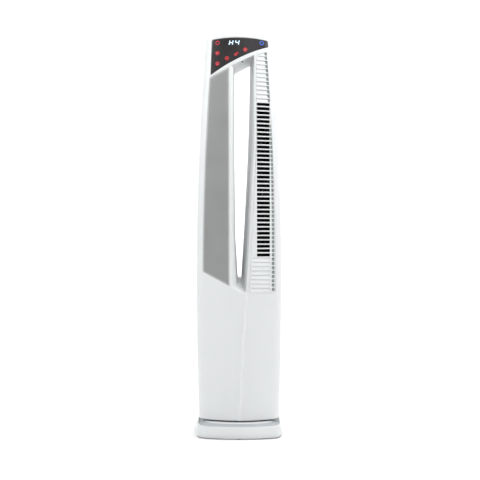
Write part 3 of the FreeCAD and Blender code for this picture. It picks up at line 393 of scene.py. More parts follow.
def opening_rows(loop, width, depth, rear=False, steps=6):
    """A rounded lip from the surface into an opening, then its wall. width may differ from point to point."""
    width = np.broadcast_to(width, (len(loop),))
    rows = []
    for turn in np.radians(np.linspace(0, 90, steps)):
        moved = grown(loop, (width * (1 - math.sin(turn)))[:, None])
        rows.append(on_surface(moved, width * (1 - math.cos(turn)), rear))
    return [*rows, on_surface(loop, depth, rear)]


def to_wall(loop, rear=False):
    """An outline's points on the flattened wall."""
    return stack([flat_q(loop[:, 0], loop[:, 1], rear), loop[:, 1]])


def wall_patch(build, outer, holes, spacing, rear=False, lines=()):
    points, triangles = triangulated(outer, holes, spacing, lines)
    x, y = wall_point(points[:, 0], points[:, 1], rear=rear)
    start = build.add(stack([x, y, points[:, 1]]))
    build.faces += [tuple(start + t) for t in triangles]


# ---- materials
BROAD_GRAIN = 22
RELIEF_DEPTH = 0.4 * MM


def finish_of(name, colour, roughness, grain=700.0, bump=0.04, mottle=0.02, metallic=0.0, clear=0.0, streak=(1, 1, 1),
              glow=None, rough_spread=0.06, specular=0.5):
    """A surface finish with fine grain: colour and roughness vary a little, and the grain stands in slight relief."""
    material = bpy.data.materials.new(name)
    material.use_nodes = True
    nodes, links = material.node_tree.nodes, material.node_tree.links
    shader = nodes["Principled BSDF"]

    def add(kind, **values):
        node = nodes.new(kind)
        for key, value in values.items():
            node.inputs[key].default_value = value
        return node

    coords = add("ShaderNodeTexCoord")
    stretch = add("ShaderNodeMapping", Scale=streak)
    links.new(coords.outputs["Object"], stretch.inputs["Vector"])
    fine = add("ShaderNodeTexNoise", Scale=grain, Detail=3)
    broad = add("ShaderNodeTexNoise", Scale=BROAD_GRAIN)
    for noise in (fine, broad):
        links.new(stretch.outputs["Vector"], noise.inputs["Vector"])
    tint = add("ShaderNodeValToRGB")
    for stop, place, change in zip(tint.color_ramp.elements, (0.3, 0.7), (1 - mottle, 1 + mottle)):
        stop.position = place
        stop.color = (*[min(1, c * change) for c in colour], 1)
    links.new(broad.outputs["Fac"], tint.inputs["Fac"])
    links.new(tint.outputs["Color"], shader.inputs["Base Color"])
    rough = add("ShaderNodeMapRange")
    rough.inputs["To Min"].default_value = max(0.02, roughness - rough_spread)
    rough.inputs["To Max"].default_value = min(1, roughness + rough_spread)
    links.new(fine.outputs["Fac"], rough.inputs["Value"])
    links.new(rough.outputs["Result"], shader.inputs["Roughness"])
    relief = add("ShaderNodeBump", Strength=bump, Distance=RELIEF_DEPTH)
    links.new(fine.outputs["Fac"], relief.inputs["Height"])
    links.new(relief.outputs["Normal"], shader.inputs["Normal"])
    shader.inputs["Metallic"].default_value = metallic
    shader.inputs["Specular IOR Level"].default_value = specular
    shader.inputs["Transmission Weight"].default_value = clear
    if glow:
        links.new(tint.outputs["Color"], shader.inputs["Emission Color"])
        shader.inputs["Emission Strength"].default_value = glow
    return material


white = finish_of("white satin plastic", (0.71, 0.73, 0.735), 0.42, mottle=0.006, bump=0.03)
base_white = finish_of("white base plastic", (0.69, 0.71, 0.715), 0.45, mottle=0.008, bump=0.035)
# painted shade: a darker grey for the base's recess behind the rim, standing in for the shade under the tower
moat_painted_shade = finish_of("base recess painted shade", (0.42, 0.45, 0.465), 0.5, mottle=0.01, bump=0.04)
mesh_grey = finish_of("grey grille", (0.45, 0.46, 0.455), 0.5, mottle=0.03, bump=0.05)
gloss_black = finish_of("smoked gloss lens", (0.03, 0.027, 0.029), 0.28, mottle=0.15, bump=0.004, rough_spread=0.02,
                        specular=0.3)
icon_red = finish_of("lit red icon", (0.46, 0.01, 0.024), 0.4, mottle=0.12, glow=0.24)
icon_dim = finish_of("dim red icon", (0.17, 0.005, 0.01), 0.35, mottle=0.1, glow=0.2)
icon_red_bright = finish_of("bright red strokes", (0.85, 0.08, 0.09), 0.4, mottle=0.1, glow=0.4)
icon_blue = finish_of("lit blue icon", (0.04, 0.14, 0.62), 0.4, mottle=0.12, glow=0.42)
digit_glow = finish_of("lit digits", (0.62, 0.82, 1.0), 0.4, mottle=0.05, glow=1.7)
# painted shade: darker grey for the faces deep in the louvre notches
notch_painted_shade = finish_of("notch painted shade", (0.3, 0.335, 0.33), 0.6, mottle=0.08, bump=0.1)
# painted shade: near-black for the duct and heater parts seen through the louvre slots
behind_louvre_painted_shade = finish_of("painted shade behind louvres", (0.006, 0.006, 0.006), 0.7, streak=(1, 1, 8), mottle=0.2, bump=0.2)
eye_dark = finish_of("dark infrared window", (0.05, 0.045, 0.05), 0.3, mottle=0.1, bump=0.01)
# painted shade: near-black for the walls of the open louvre slots
slot_wall_painted_shade = finish_of("slot wall painted shade", (0.01, 0.01, 0.011), 0.75, mottle=0.1, bump=0.2)

SLOT_FINISHES = {
    "white_plastic": white,
    "black_gloss": gloss_black,
    "grey_mesh": mesh_grey,
    "charcoal_foam": finish_of("charcoal foam", (0.035, 0.036, 0.038), 0.95, grain=260, bump=1.0, mottle=0.35),
    "inner_plastic": finish_of("inner grey plastic", (0.24, 0.25, 0.26), 0.6, mottle=0.05, bump=0.15),
    "steel": finish_of("brushed steel", (0.52, 0.52, 0.53), 0.32, streak=(1, 1, 14), metallic=1, bump=0.1),
    "zinc_steel": finish_of("zinc plated steel", (0.6, 0.61, 0.63), 0.38, grain=350, metallic=1, bump=0.12,
                            mottle=0.1),
    "copper_winding": finish_of("enamelled copper", (0.56, 0.2, 0.07), 0.35, streak=(1, 12, 1), metallic=0.8,
                                bump=0.5),
    # painted shade: the aluminium is near-black so that the parts seen through the slots stay dark
    "aluminium": finish_of("aluminium in near-black painted shade", (0.03, 0.03, 0.031), 0.6, streak=(1, 1, 8), metallic=0.3,
                           bump=0.2),
    "black_rubber": finish_of("black rubber", (0.02, 0.02, 0.021), 0.8, grain=500, bump=0.35, mottle=0.1),
    "board_green": finish_of("green board", (0.02, 0.11, 0.05), 0.4, grain=300, bump=0.1, mottle=0.15),
    "clear_guide": finish_of("clear light guide", (0.8, 0.8, 0.8), 0.12, clear=0.85, bump=0.02),
    "ptfe": finish_of("white low-friction plastic", (0.72, 0.72, 0.69), 0.5, mottle=0.03, bump=0.08),
    "brass": finish_of("brass", (0.62, 0.45, 0.16), 0.3, grain=400, metallic=1, bump=0.1, mottle=0.08),
    "wire_sheath": finish_of("dark wire sheath", (0.03, 0.03, 0.032), 0.55, grain=450, bump=0.2, mottle=0.1),
    "relay_blue": finish_of("blue relay case", (0.03, 0.12, 0.4), 0.45, mottle=0.06, bump=0.08),
}

slot_of = {sub["node"]: sub.get("material_slot") for sub in frame["record"]["subparts"]}
# these parts get the near-black painted shade in place of their own finishes
BEHIND_LOUVRES = ("hot_air_duct", "heater_fins", "heater_electrodes", "heater_stones", "heater_end_blocks")
for node_name, node in frame["nodes"].items():
    node.data.materials.clear()
    finish = SLOT_FINISHES.get(slot_of.get(node_name), SLOT_FINISHES["inner_plastic"])
    node.data.materials.append(behind_louvre_painted_shade if node_name in BEHIND_LOUVRES else finish)


# ---- the slot
SLOT_LEFT_EDGE = np.array([(-17, 361), (-18.5, 480), (-19, 700), (-19, 897)]) * MM
SLOT_FOOT_Z, SLOT_HEAD_Z = 341.5 * MM, 925 * MM
THROAT_LEFT_EDGE = np.array([(-3.5, 378), (-9.5, 480), (-12.3, 700), (-12.3, 903)]) * MM
THROAT_RIGHT_EDGE = np.array([(5.8, 377), (13.4, 505), (20.4, 640), (23.1, 702), (25.3, 768), (28.8, 924)]) * MM
FLARE_DEPTH = np.array([0, 3, 8, 16, 34]) * MM
FLARE_LEFT = (0.74, 0.5, 0.2, 0.05, 0.0)
FLARE_RIGHT = (0.97, 0.93, 0.8, 0.6, 0.3)
FLARE_HEAD = (0.94, 0.87, 0.7, 0.5, 0.2)
FLARE_FOOT = (0.97, 0.92, 0.82, 0.66, 0.38)
SIDE_POINTS, HEAD_POINTS, FOOT_POINTS = 190, 20, 12
LIP_DEPTH = 5.5 * MM            # where the slot's front lip ends
FLARE_ROW_DEPTHS = np.array([7, 9, 11, 14, 17, 21, 25, 29, 34]) * MM
REAR_LIP = 1.2 * MM


def along(edge, share):
    z = edge[0, 1] + (edge[-1, 1] - edge[0, 1]) * share
    return stack([np.interp(z, edge[:, 1], edge[:, 0]), z])


def slot_loop(left_share, right_share, head_share, foot_share):
    """The slot's outline, as (x, z), clockwise from the foot's left. The shares run from 0 inside to 1 in front."""
    v = np.linspace(0, 1, SIDE_POINTS)
    end_share = foot_share + (head_share - foot_share) * v
    heights = SLOT_FOOT_Z + (SLOT_HEAD_Z - SLOT_FOOT_Z) * v

    def side(inner, outer, share):
        return inner + (outer - inner) * stack([np.full(SIDE_POINTS, share), end_share])

    def between(a, b, count):
        return a + (b - a) * np.linspace(0, 1, count + 2)[1:-1, None]

    left = side(along(THROAT_LEFT_EDGE, v), along(SLOT_LEFT_EDGE, v), left_share)
    right = side(along(THROAT_RIGHT_EDGE, v), stack([crease_x(heights), heights]), right_share)
    head, foot = between(left[-1], right[-1], HEAD_POINTS), between(right[0], left[0], FOOT_POINTS)
    return smoothed(np.vstack([left, head, right[::-1], foot]), 2)


THROAT = slot_loop(0, 0, 0, 0)


def slot_lip_width():
    """How far the slot's rounded lip reaches onto the casing, all round it."""
    width = np.full(len(THROAT), 0.8 * MM)
    width[:SIDE_POINTS] = 1.9 * MM
    width[-FOOT_POINTS:] = 3.0 * MM
    return evened(width, 30)


def slot_front_edge():
    return grown(slot_loop(1, 1, 1, 1), slot_lip_width()[:, None])


def flare_shares(depth):
    shares = (FLARE_LEFT, FLARE_RIGHT, FLARE_HEAD, FLARE_FOOT)
    return [float(np.interp(depth, FLARE_DEPTH, share)) for share in shares]


def slot_rows():
    """The slot's wall, as closed rows of points from the front lip through to the back one."""
    def at_depth(loop, depth):
        return stack([loop[:, 0], front_tip(loop[:, 1]) + depth, loop[:, 1]])

    edge, corner = on_surface(slot_front_edge()), on_surface(slot_loop(1, 1, 1, 1))
    turned = at_depth(slot_loop(*flare_shares(LIP_DEPTH)), LIP_DEPTH)
    rows = [(1 - t) ** 2 * edge + 2 * t * (1 - t) * corner + t ** 2 * turned for t in np.linspace(0, 1, 9)]
    for depth in FLARE_ROW_DEPTHS:
        near = [flare_shares(depth + offset) for offset in (-1.5 * MM, 0, 1.5 * MM)]
        rows.append(at_depth(slot_loop(*np.mean(near, axis=0)), depth))
    flared = rows[-1]
    middle = stack([THROAT[:, 0], np.zeros(len(THROAT)), THROAT[:, 1]])
    rows += [flared + (middle - flared) * t for t in (0.33, 0.66)]
    back = opening_rows(THROAT, REAR_LIP, 3 * MM, rear=True, steps=5)
    return [*rows, middle, middle + (back[-1] - middle) * 0.5, *back[::-1]]


# ---- the casing
WALL_ROWS = 150
FOLD = 5 * MM           # how far the lower edge is folded in and up
SEAM_FOLD = ((0, 0), (0.1, -0.25), (0.35, -0.4), (2.6, -0.4))       # inwards and along, in mm


def ring_q(z, inset=0.0, rear=False):
    """Stations along the flattened wall at one height, from the left parting edge to the right one."""
    width, corner, side = REAR_ROUND if rear else FRONT_ROUND
    chord = half_width(z) - inset - width
    right = np.r_[chord + corner * np.linspace(0, 1, 12)[1:], chord + corner + side * np.linspace(0, 1, 8)[1:]]
    return np.r_[-right[::-1], chord * np.linspace(-1, 1, 49), right]


def ring_points(z, inset=0.0, rear=False):
    x, y = wall_point(ring_q(z, inset, rear), z, inset, rear)
    return stack([x, y, np.full(len(x), z)])


def rounded_rows(z, radius, up, steps, rear):
    """Rows that turn from the wall into the flat top, with up = 1, or into the lower edge, with up = -1."""
    rows = []
    for turn in np.radians(np.linspace(0, 90, steps)):
        row = ring_points(z, radius * (1 - math.cos(turn)), rear)
        row[:, 2] = z + up * radius * math.sin(turn)
        rows.append(row)
    return rows


def casing_outline(rear=False):
    """The casing wall's outer outline, flattened: bottom row, right edge, top row, left edge."""
    low, high = ring_q(WALL_LOW_Z, 0, rear), ring_q(WALL_HIGH_Z, 0, rear)
    heights = np.linspace(WALL_LOW_Z, WALL_HIGH_Z, WALL_ROWS)[1:-1]
    reach = np.array([ring_q(z, 0, rear)[-1] for z in heights])
    return np.vstack([
        stack([low, np.full(len(low), WALL_LOW_Z)]),
        stack([reach, heights]),
        stack([high[::-1], np.full(len(high), WALL_HIGH_Z)]),
        stack([-reach[::-1], heights[::-1]]),
    ])


def close_casing(build, rear=False):
    """The rounded top, the flat top, the rounded lower edge and the folded-in edges along the parting line."""
    parting = PARTING_Y + (SEAM if rear else -SEAM)
    top_rows = rounded_rows(WALL_HIGH_Z, TOP_ROUND, 1, 9, rear)
    edge = top_rows[-1]
    flat = stack([edge[:, 0], np.full(len(edge), parting), edge[:, 2]])
    build.rows([*top_rows, edge + (flat - edge) * 0.5, flat], closed=False)
    inner = ring_points(WALL_LOW_Z, FOLD, rear)
    inner[:, 2] = BOTTOM
    build.rows([*rounded_rows(WALL_LOW_Z, BOTTOM_ROUND, -1, 5, rear), inner, inner + (0, 0, FOLD)], closed=False)
    heights = np.linspace(WALL_LOW_Z, WALL_HIGH_Z, WALL_ROWS)
    away = 1.0 if rear else -1.0
    for side in (-1, 1):
        x = side * half_width(heights)
        build.rows([stack([x - side * inset * MM, np.full(len(x), parting + away * out * MM), heights])
                    for inset, out in SEAM_FOLD], closed=False)


BEAD_LINES = (-5.4, -4, -3, -2.1, -1.3, -0.6, 0, 0.6, 1.3, 2.1, 3, 4, 5.4)      # in mm from the crease


def crease_lines():
    """Lines along the crease, so that the wall's triangles follow its bead."""
    heights = np.linspace(WALL_LOW_Z + 1 * MM, SLOT_FOOT_Z - 5 * MM, 60)
    return [stack([crease_x(heights) + offset * MM, heights]) for offset in BEAD_LINES]


def mesh_lip():
    """The lip round the intake grille, wider along its sloping lower edge."""
    low_edge_z = 398 * MM - (MESH_LOOP[:, 0] + 85 * MM) * 0.55
    return evened(np.where(MESH_LOOP[:, 1] < low_edge_z, 3.0 * MM, 0.7 * MM), 6)


def cut_opening(build, loop, width, depth, rear=False):
    """Adds a rounded opening and returns its outline on the flattened wall, for the wall patch to stop at."""
    width = np.broadcast_to(width, (len(loop),))
    build.rows(opening_rows(loop, width, depth, rear))
    return to_wall(grown(loop, width[:, None]), rear)


def front_casing():
    build = Builder()
    holes = [
        cut_opening(build, LENS_LOOP, 0.8 * MM, 2.4 * MM),
        cut_opening(build, MESH_LOOP, mesh_lip(), 3.4 * MM),
        cut_opening(build, LOUVRE_LOOP, 0.6 * MM, 2.6 * MM),
        to_wall(slot_front_edge()),
    ]
    wall_patch(build, casing_outline(), holes, (4 * MM, 6 * MM), lines=crease_lines())
    build.rows(slot_rows())
    close_casing(build)
    build.piece("front_casing", "tower", white, replaces=("front_shell", "slot_liner"), slot="white_plastic")


REAR_WINDOW = rounded_rectangle(-62 * MM, 62 * MM, 96 * MM, 292 * MM, 3 * MM)
GRIP = rounded_rectangle(-44 * MM, 44 * MM, 932 * MM, 957 * MM, 8 * MM)
GRIP_LIP, GRIP_FLOOR_Y, GRIP_FLOOR_ROUND = 2.0 * MM, 28 * MM, 2.5 * MM
SCREW_SPOTS = [(side * 90 * MM, z * MM) for z in (66, 330, 640) for side in (-1, 1)]
SCREW_WELL_RADIUS, SCREW_WELL_Y, SCREW_WELL_LIP = 3.6 * MM, 11.8 * MM, 0.5 * MM


def flat_row(loop, y):
    return stack([loop[:, 0], np.full(len(loop), y), loop[:, 1]])


def rear_casing():
    build = Builder()
    grip = resample(GRIP, 2.5 * MM)
    holes = [
        cut_opening(build, resample(REAR_WINDOW, 3 * MM), 0.8 * MM, 4 * MM, rear=True),
        to_wall(grown(THROAT, REAR_LIP), rear=True),
        to_wall(grown(grip, GRIP_LIP), rear=True),
    ]
    grip_floor = flat_row(grown(grip, -GRIP_FLOOR_ROUND), GRIP_FLOOR_Y)
    build.rows([*opening_rows(grip, GRIP_LIP, 5 * MM, rear=True), flat_row(grip, GRIP_FLOOR_Y + GRIP_FLOOR_ROUND),
                grip_floor])
    build.fan(grip_floor)
    for x, z in SCREW_SPOTS:
        spot = circle(x, z, SCREW_WELL_RADIUS, 28)
        lip = grown(spot, SCREW_WELL_LIP)
        holes.append(to_wall(lip, rear=True))
        edge = on_surface(lip, rear=True)
        well = flat_row(spot, SCREW_WELL_Y)
        build.rows([edge, stack([spot[:, 0], edge[:, 1] - SCREW_WELL_LIP, spot[:, 1]]), well])
        build.fan(well)
    wall_patch(build, casing_outline(True), holes, (5 * MM, 7 * MM), rear=True)
    close_casing(build, rear=True)
    build.piece("rear_casing", "tower", white, replaces=("rear_shell",), slot="white_plastic")


# ---- the control lens and what shows in it
def fitted_panel(build, loop, gap, edge, spacing, thickness, slots=(), rear=False):
    """A flush panel with a rounded edge, inside an opening, and with any slots."""
    rows = []
    for turn in np.radians(np.linspace(90, 0, 5)):
        moved = grown(loop, -(gap + edge * (1 - math.sin(turn))))
        rows.append(on_surface(moved, edge * (1 - math.cos(turn)), rear))
    foot = on_surface(rows[0][:, [0, 2]], thickness, rear)
    build.rows([foot, *rows])
    holes = [cut_opening(build, slot, 0.5 * MM, thickness, rear) for slot in slots]
    wall_patch(build, to_wall(grown(loop, -(gap + edge)), rear), holes, spacing, rear)


def control_lens():
    build = Builder()
    fitted_panel(build, LENS_LOOP, 0.25 * MM, 0.5 * MM, (2.5 * MM, 2.5 * MM), 2 * MM)
    build.piece("lens_panel", "tower", gloss_black, replaces=("control_lens",), slot="black_gloss")


PRINT_PROUD = 0.12 * MM
EYE_X, EYE_ROW, EYE_RADIUS = 8.5 * MM, 10, 2.3 * MM
# share of the radius, and height in mm
EYE_PROFILE = ((1, -0.8), (1, 0.9), (0.93, 1.6), (0.75, 2.2), (0.45, 2.7), (0.15, 2.85))


def remote_eye():
    """The small dark eye in the slot's head, a low dome on the flared wall."""
    before, row, after = slot_rows()[EYE_ROW - 1:EYE_ROW + 2]
    near = SIDE_POINTS + np.argmin(np.abs(row[SIDE_POINTS:SIDE_POINTS + HEAD_POINTS, 0] - EYE_X))
    centre = row[near]
    across, inwards = row[near + 1] - row[near - 1], after[near] - before[near]
    across, inwards = across / np.linalg.norm(across), inwards / np.linalg.norm(inwards)
    normal = np.cross(across, inwards)
    normal *= -np.sign(normal[2]) / np.linalg.norm(normal)
    build = Builder()
    turns = np.linspace(0, 2 * math.pi, 28, endpoint=False)[:, None]
    spokes = across * np.cos(turns) + np.cross(normal, across) * np.sin(turns)
    dome = [centre + spokes * EYE_RADIUS * r + normal * h * MM for r, h in EYE_PROFILE]
    build.rows(dome)
    build.fan(dome[-1])
    build.piece("remote_eye_dome", "tower", eye_dark, replaces=("remote_eye",), slot="black_gloss")


def stroke(build, points, width):
    """A raised flat stroke along a line on the lens."""
    points = np.asarray(points, float)
    direction = np.gradient(points, axis=0)
    if np.allclose(points[0], points[-1]):
        direction[0] = direction[-1] = points[1] - points[-2]
    direction /= np.linalg.norm(direction, axis=1)[:, None]
    normal = stack([-direction[:, 1], direction[:, 0]])
    build.rows([on_surface(points + normal * across * width, -PRINT_PROUD * proud)
                for across, proud in ((-0.5, 0), (-0.36, 1), (0.36, 1), (0.5, 0))], closed=False)


def disc(build, x, z, radius, proud):
    profile = ((1, 0.0), (0.97, 0.8), (0.9, 1.0), (0.45, 1.0))      # radius share, height share
    rows = [on_surface(circle(x, z, radius * share, 40), -proud * lift) for share, lift in profile]
    build.rows(rows)
    build.fan(rows[-1])


# in mm on the lens
ICON_SPOTS = {"timer": (-52.5, 930.3), "swing": (-52.8, 904.3), "fan": (-29.5, 916.2), "level": (-6.8, 926.5),
              "heat": (15.2, 937.2)}
POWER_SPOT, BLUE_SPOT = (-52.5, 956), (55.5, 955.6)
RING_RADIUS, BLUE_RING_RADIUS, DISC_RADIUS = 4.3, 4.4, 4.9
LEVEL_SQUARES = ((-1.9, -1.7), (1.9, 1.7))
SQUARE = np.array([(-1, -1), (1, -1), (1, 1), (-1, 1), (-1, -1)]) * 2.1


def icon_glyphs():
    """The strokes inside the icons' rings: (icon, line round the icon's centre, width), in mm."""
    wave = np.linspace(-1, 1, 16)
    glyphs = [
        ("timer", [(-2.6, -1.4), (0, -0.4), (2.6, 1.4)], 1.0),
        ("timer", arc_line(0, 0, 3.6, 120, 215), 0.7),
        ("swing", arc_line(0, -1.0, 3.2, 30, 150), 0.8),
        ("swing", arc_line(0, 1.0, 3.2, 210, 330), 0.8),
    ]
    for turn in (90, 210, 330):
        x, z = 1.9 * math.cos(math.radians(turn)), 1.9 * math.sin(math.radians(turn))
        glyphs.append(("fan", arc_line(x, z, 1.2, turn - 120, turn + 100, 16), 0.7))
    for offset in (-2.0, 0.0, 2.0):
        glyphs.append(("heat", stack([offset + 0.6 * np.sin(wave * 3), 2.8 * wave]), 0.7))
    return [*glyphs, ("level", [(-3.1, -1.7), (-1.9, -1.7), (-0.7, -1.7)], 1.0)]


def lit_icons():
    rings, strokes, discs, blue = Builder(), Builder(), Builder(), Builder()

    def draw(build, spot, line, width):
        stroke(build, (np.array(spot) + line) * MM, width * MM)

    ring = arc_line(0, 0, RING_RADIUS, 0, 360, 40)
    draw(rings, POWER_SPOT, ring, 1.9)
    for name in ("timer", "swing", "fan", "heat"):
        disc(discs, *(np.array(ICON_SPOTS[name]) * MM), DISC_RADIUS * MM, 0.04 * MM)
        draw(rings, ICON_SPOTS[name], ring, 1.3)
    for centre in LEVEL_SQUARES:
        for start, end in zip(SQUARE + centre, SQUARE[1:] + centre):
            draw(rings, ICON_SPOTS["level"], np.linspace(start, end, 5), 1.5)
    for name, line, width in icon_glyphs():
        draw(strokes, ICON_SPOTS[name], line, width)
    draw(blue, BLUE_SPOT, arc_line(0, 0, BLUE_RING_RADIUS, 0, 360, 40), 1.6)
    discs.piece("icon_discs", "tower", icon_dim, slot="clear_guide")
    rings.piece("icons_red", "tower", icon_red, slot="clear_guide")
    strokes.piece("icon_strokes", "tower", icon_red_bright, slot="clear_guide")
    blue.piece("icon_blue", "tower", icon_blue, slot="clear_guide")


# seven-segment digits: each segment runs between two of the six nodes of a slanted 2 x 3 grid
SEGMENTS = {"b": ((1, 2), (1, 1)), "c": ((1, 1), (1, 0)), "e": ((0, 1), (0, 0)), "f": ((0, 2), (0, 1)),
            "g": ((0, 1), (1, 1))}
DIGIT_WIDTH, DIGIT_STEP, DIGIT_SLANT, DIGIT_FOOT_Z = 8.2 * MM, 5.8 * MM, 0.2, 948.6 * MM
DIGITS = ((-24.6 * MM, "febcg"), (-9.8 * MM, "fbgc"))
SEGMENT_GAP, SEGMENT_WIDTH = 0.9 * MM, 1.6 * MM


def digits():
    build = Builder()
    for left, lit in DIGITS:
        for name in lit:
            start, end = (np.array([left + column * DIGIT_WIDTH + DIGIT_SLANT * level * DIGIT_STEP,
                                    DIGIT_FOOT_Z + level * DIGIT_STEP]) for column, level in SEGMENTS[name])
            trim = (end - start) * SEGMENT_GAP / np.linalg.norm(end - start)
            stroke(build, np.linspace(start + trim, end - trim, 7), SEGMENT_WIDTH)
    build.piece("display_digits", "tower", digit_glow, slot="clear_guide")


# ---- the intake grille
HOLE_PITCH = 2.6 * MM
HOLE_RADIUS = 0.86 * MM
HOLE_EDGE, HOLE_EDGE_DEPTH = 1.12, 0.12 * MM
SHEET_DEPTH, SHEET_THICKNESS, SHEET_BORDER = 1.0 * MM, 0.8 * MM, 2.4 * MM
SHEET_RIM = ((0.3, 2.2), (0.3, 0.25), (0.0, 0.1), (-2.0, 0.1), (-3.4, 0.1), (-3.4, 1.2))      # out and down, in mm
SPOKES = 12


def intake_grille():
    build = Builder()
    low, high = MESH_LOOP.min(0), MESH_LOOP.max(0)
    centres = []
    for row, z in enumerate(np.arange(low[1], high[1], HOLE_PITCH * math.sqrt(3) / 2)):
        shift = HOLE_PITCH / 2 if row % 2 else 0.0
        centres += [(x + shift, z) for x in np.arange(low[0], high[0], HOLE_PITCH)]
    centres = np.array(centres)
    centres = centres[inside(centres, grown(MESH_LOOP, -SHEET_BORDER))]
    number = np.arange(SPOKES)
    angles = np.radians((number + 1) * 360 / SPOKES)
    spokes = stack([np.cos(angles), np.sin(angles)])
    cell = spokes * np.where(number % 2 == 0, HOLE_PITCH / math.sqrt(3), HOLE_PITCH / 2)[:, None]
    hole = spokes * HOLE_RADIUS
    layers = []
    for shape, drop in ((cell, 0.0), (hole * HOLE_EDGE, 0.0), (hole, HOLE_EDGE_DEPTH), (hole, SHEET_THICKNESS)):
        at = (centres[:, None, :] + shape[None]).reshape(-1, 2)
        layers.append(build.add(on_surface(at, SHEET_DEPTH + drop)))
    for a, b in zip(layers, layers[1:]):
        for first in range(0, len(centres) * SPOKES, SPOKES):
            for j in range(SPOKES):
                i, k = first + j, first + (j + 1) % SPOKES
                build.faces.append((a + i, a + k, b + k, b + i))
    build.rows([on_surface(grown(MESH_LOOP, out * MM), SHEET_DEPTH + drop * MM) for out, drop in SHEET_RIM])
    build.piece("grille_sheet", "tower", mesh_grey, replaces=("intake_grille",), slot="grey_mesh", weld=1e-5)


# ---- the louvre panel
PITCH, OPEN_ROWS, ROWS_ABOVE, ROWS_BELOW = 10.48 * MM, 36, 12, 8
FIRST_ROW_Z = 437.1 * MM
SLOT_HALF_HEIGHT = 3.6 * MM
SLOT_X0, SLOT_X1 = 43.3 * MM, 74.8 * MM
LOUVRE_HEAD_RUN = 26.5 * MM
LOUVRE_GAP = 0.3 * MM
NOTCH_GROWTH_Z, NOTCH_GROWTH_RUN = 700 * MM, 300 * MM
NOTCH_DEPTH, NOTCH_DARK_DEPTH, GROOVE_DEPTH, SLOT_LIP_DEPTH, LINER_DEPTH = (d * MM for d in (2.8, 1.5, 2.1, 0.7, 2.4))
EDGE_IN, EDGE_OUT = ((-0.3, 0), (-0.08, 0.15), (0.1, 1)), ((-0.1, 1), (0.08, 0.15), (0.3, 0))     # mm, depth share
SLOT_COLUMNS = range(5, 12)         # the faces of a row that an open slot cuts away
SLOT_END_GAP, GROOVE_END_GAP, GROOVE_INDENT = 1.4 * MM, 6.8 * MM, 4 * MM
# the notches: reach and margin from the panel's right edge, and how much both grow lower down
NOTCH_REACH, NOTCH_REACH_ABOVE, NOTCH_REACH_GROWTH = 5.2 * MM, 5.6 * MM, 3.6 * MM
NOTCH_MARGIN, NOTCH_MARGIN_GROWTH, NOTCH_GAP = 0.6 * MM, 1.6 * MM, 1.2 * MM
# one row: heights from its middle in mm, and an open slot's or notch's share of depth there
FIN_ROWS = [(-5.1, 0), (-4.3, 0), (-3.95, 0.06), (-3.72, 0.3), (-3.6, 1), (-2, 1), (0, 1), (2, 1), (2.8, 1),
            (3.6, 1), (3.72, 0.3), (3.95, 0.06), (4.3, 0)]
# the same for the closed grooves, which deepen upwards
GROOVE_SHARES = (0, 0, 0.03, 0.06, 0.1, 0.3, 0.58, 0.86, 1.0, 0.62, 0.5, 0.3, 0)


def louvre_left(z):
    climbed = (z - LOUVRE_FOOT_Z) / (LOUVRE_KNEE_Z - LOUVRE_FOOT_Z)
    return float(np.minimum(LOUVRE_LEFT_X, LOUVRE_FOOT_X + (LOUVRE_LEFT_X - LOUVRE_FOOT_X) * climbed))


def louvre_head(x):
    return LOUVRE_LEFT_TOP_Z + (LOUVRE_HEAD_Z - LOUVRE_LEFT_TOP_Z) * (x - LOUVRE_LEFT_X) / LOUVRE_HEAD_RUN


def notch_growth(z):
    """0 in the upper half of the panel, and up to 1 lower down, where the notches are longer."""
    return float(np.clip((NOTCH_GROWTH_Z - z) / NOTCH_GROWTH_RUN, 0, 1))


def louvre_stations():
    """The panel's rows of points: (height, slot's depth share, groove's depth share, row number)."""
    first, last = -ROWS_BELOW, OPEN_ROWS + ROWS_ABOVE
    stations = [(LOUVRE_FOOT_Z + up * MM, 0.0, 0.0, 0) for up in (0.3, 0.6)]
    for row in range(first - 1, last + 1):
        real, is_open = first <= row < last, 0 <= row < OPEN_ROWS
        for (offset, share), groove_share in zip(FIN_ROWS, GROOVE_SHARES):
            z = FIRST_ROW_Z + row * PITCH + offset * MM
            if LOUVRE_FOOT_Z + 1 * MM < z < LOUVRE_HEAD_Z:
                stations.append((z, share * real, (share if is_open else groove_share) * real, row))
    return [*stations, (LOUVRE_HEAD_Z - LOUVRE_GAP, 0.0, 0.0, last)]


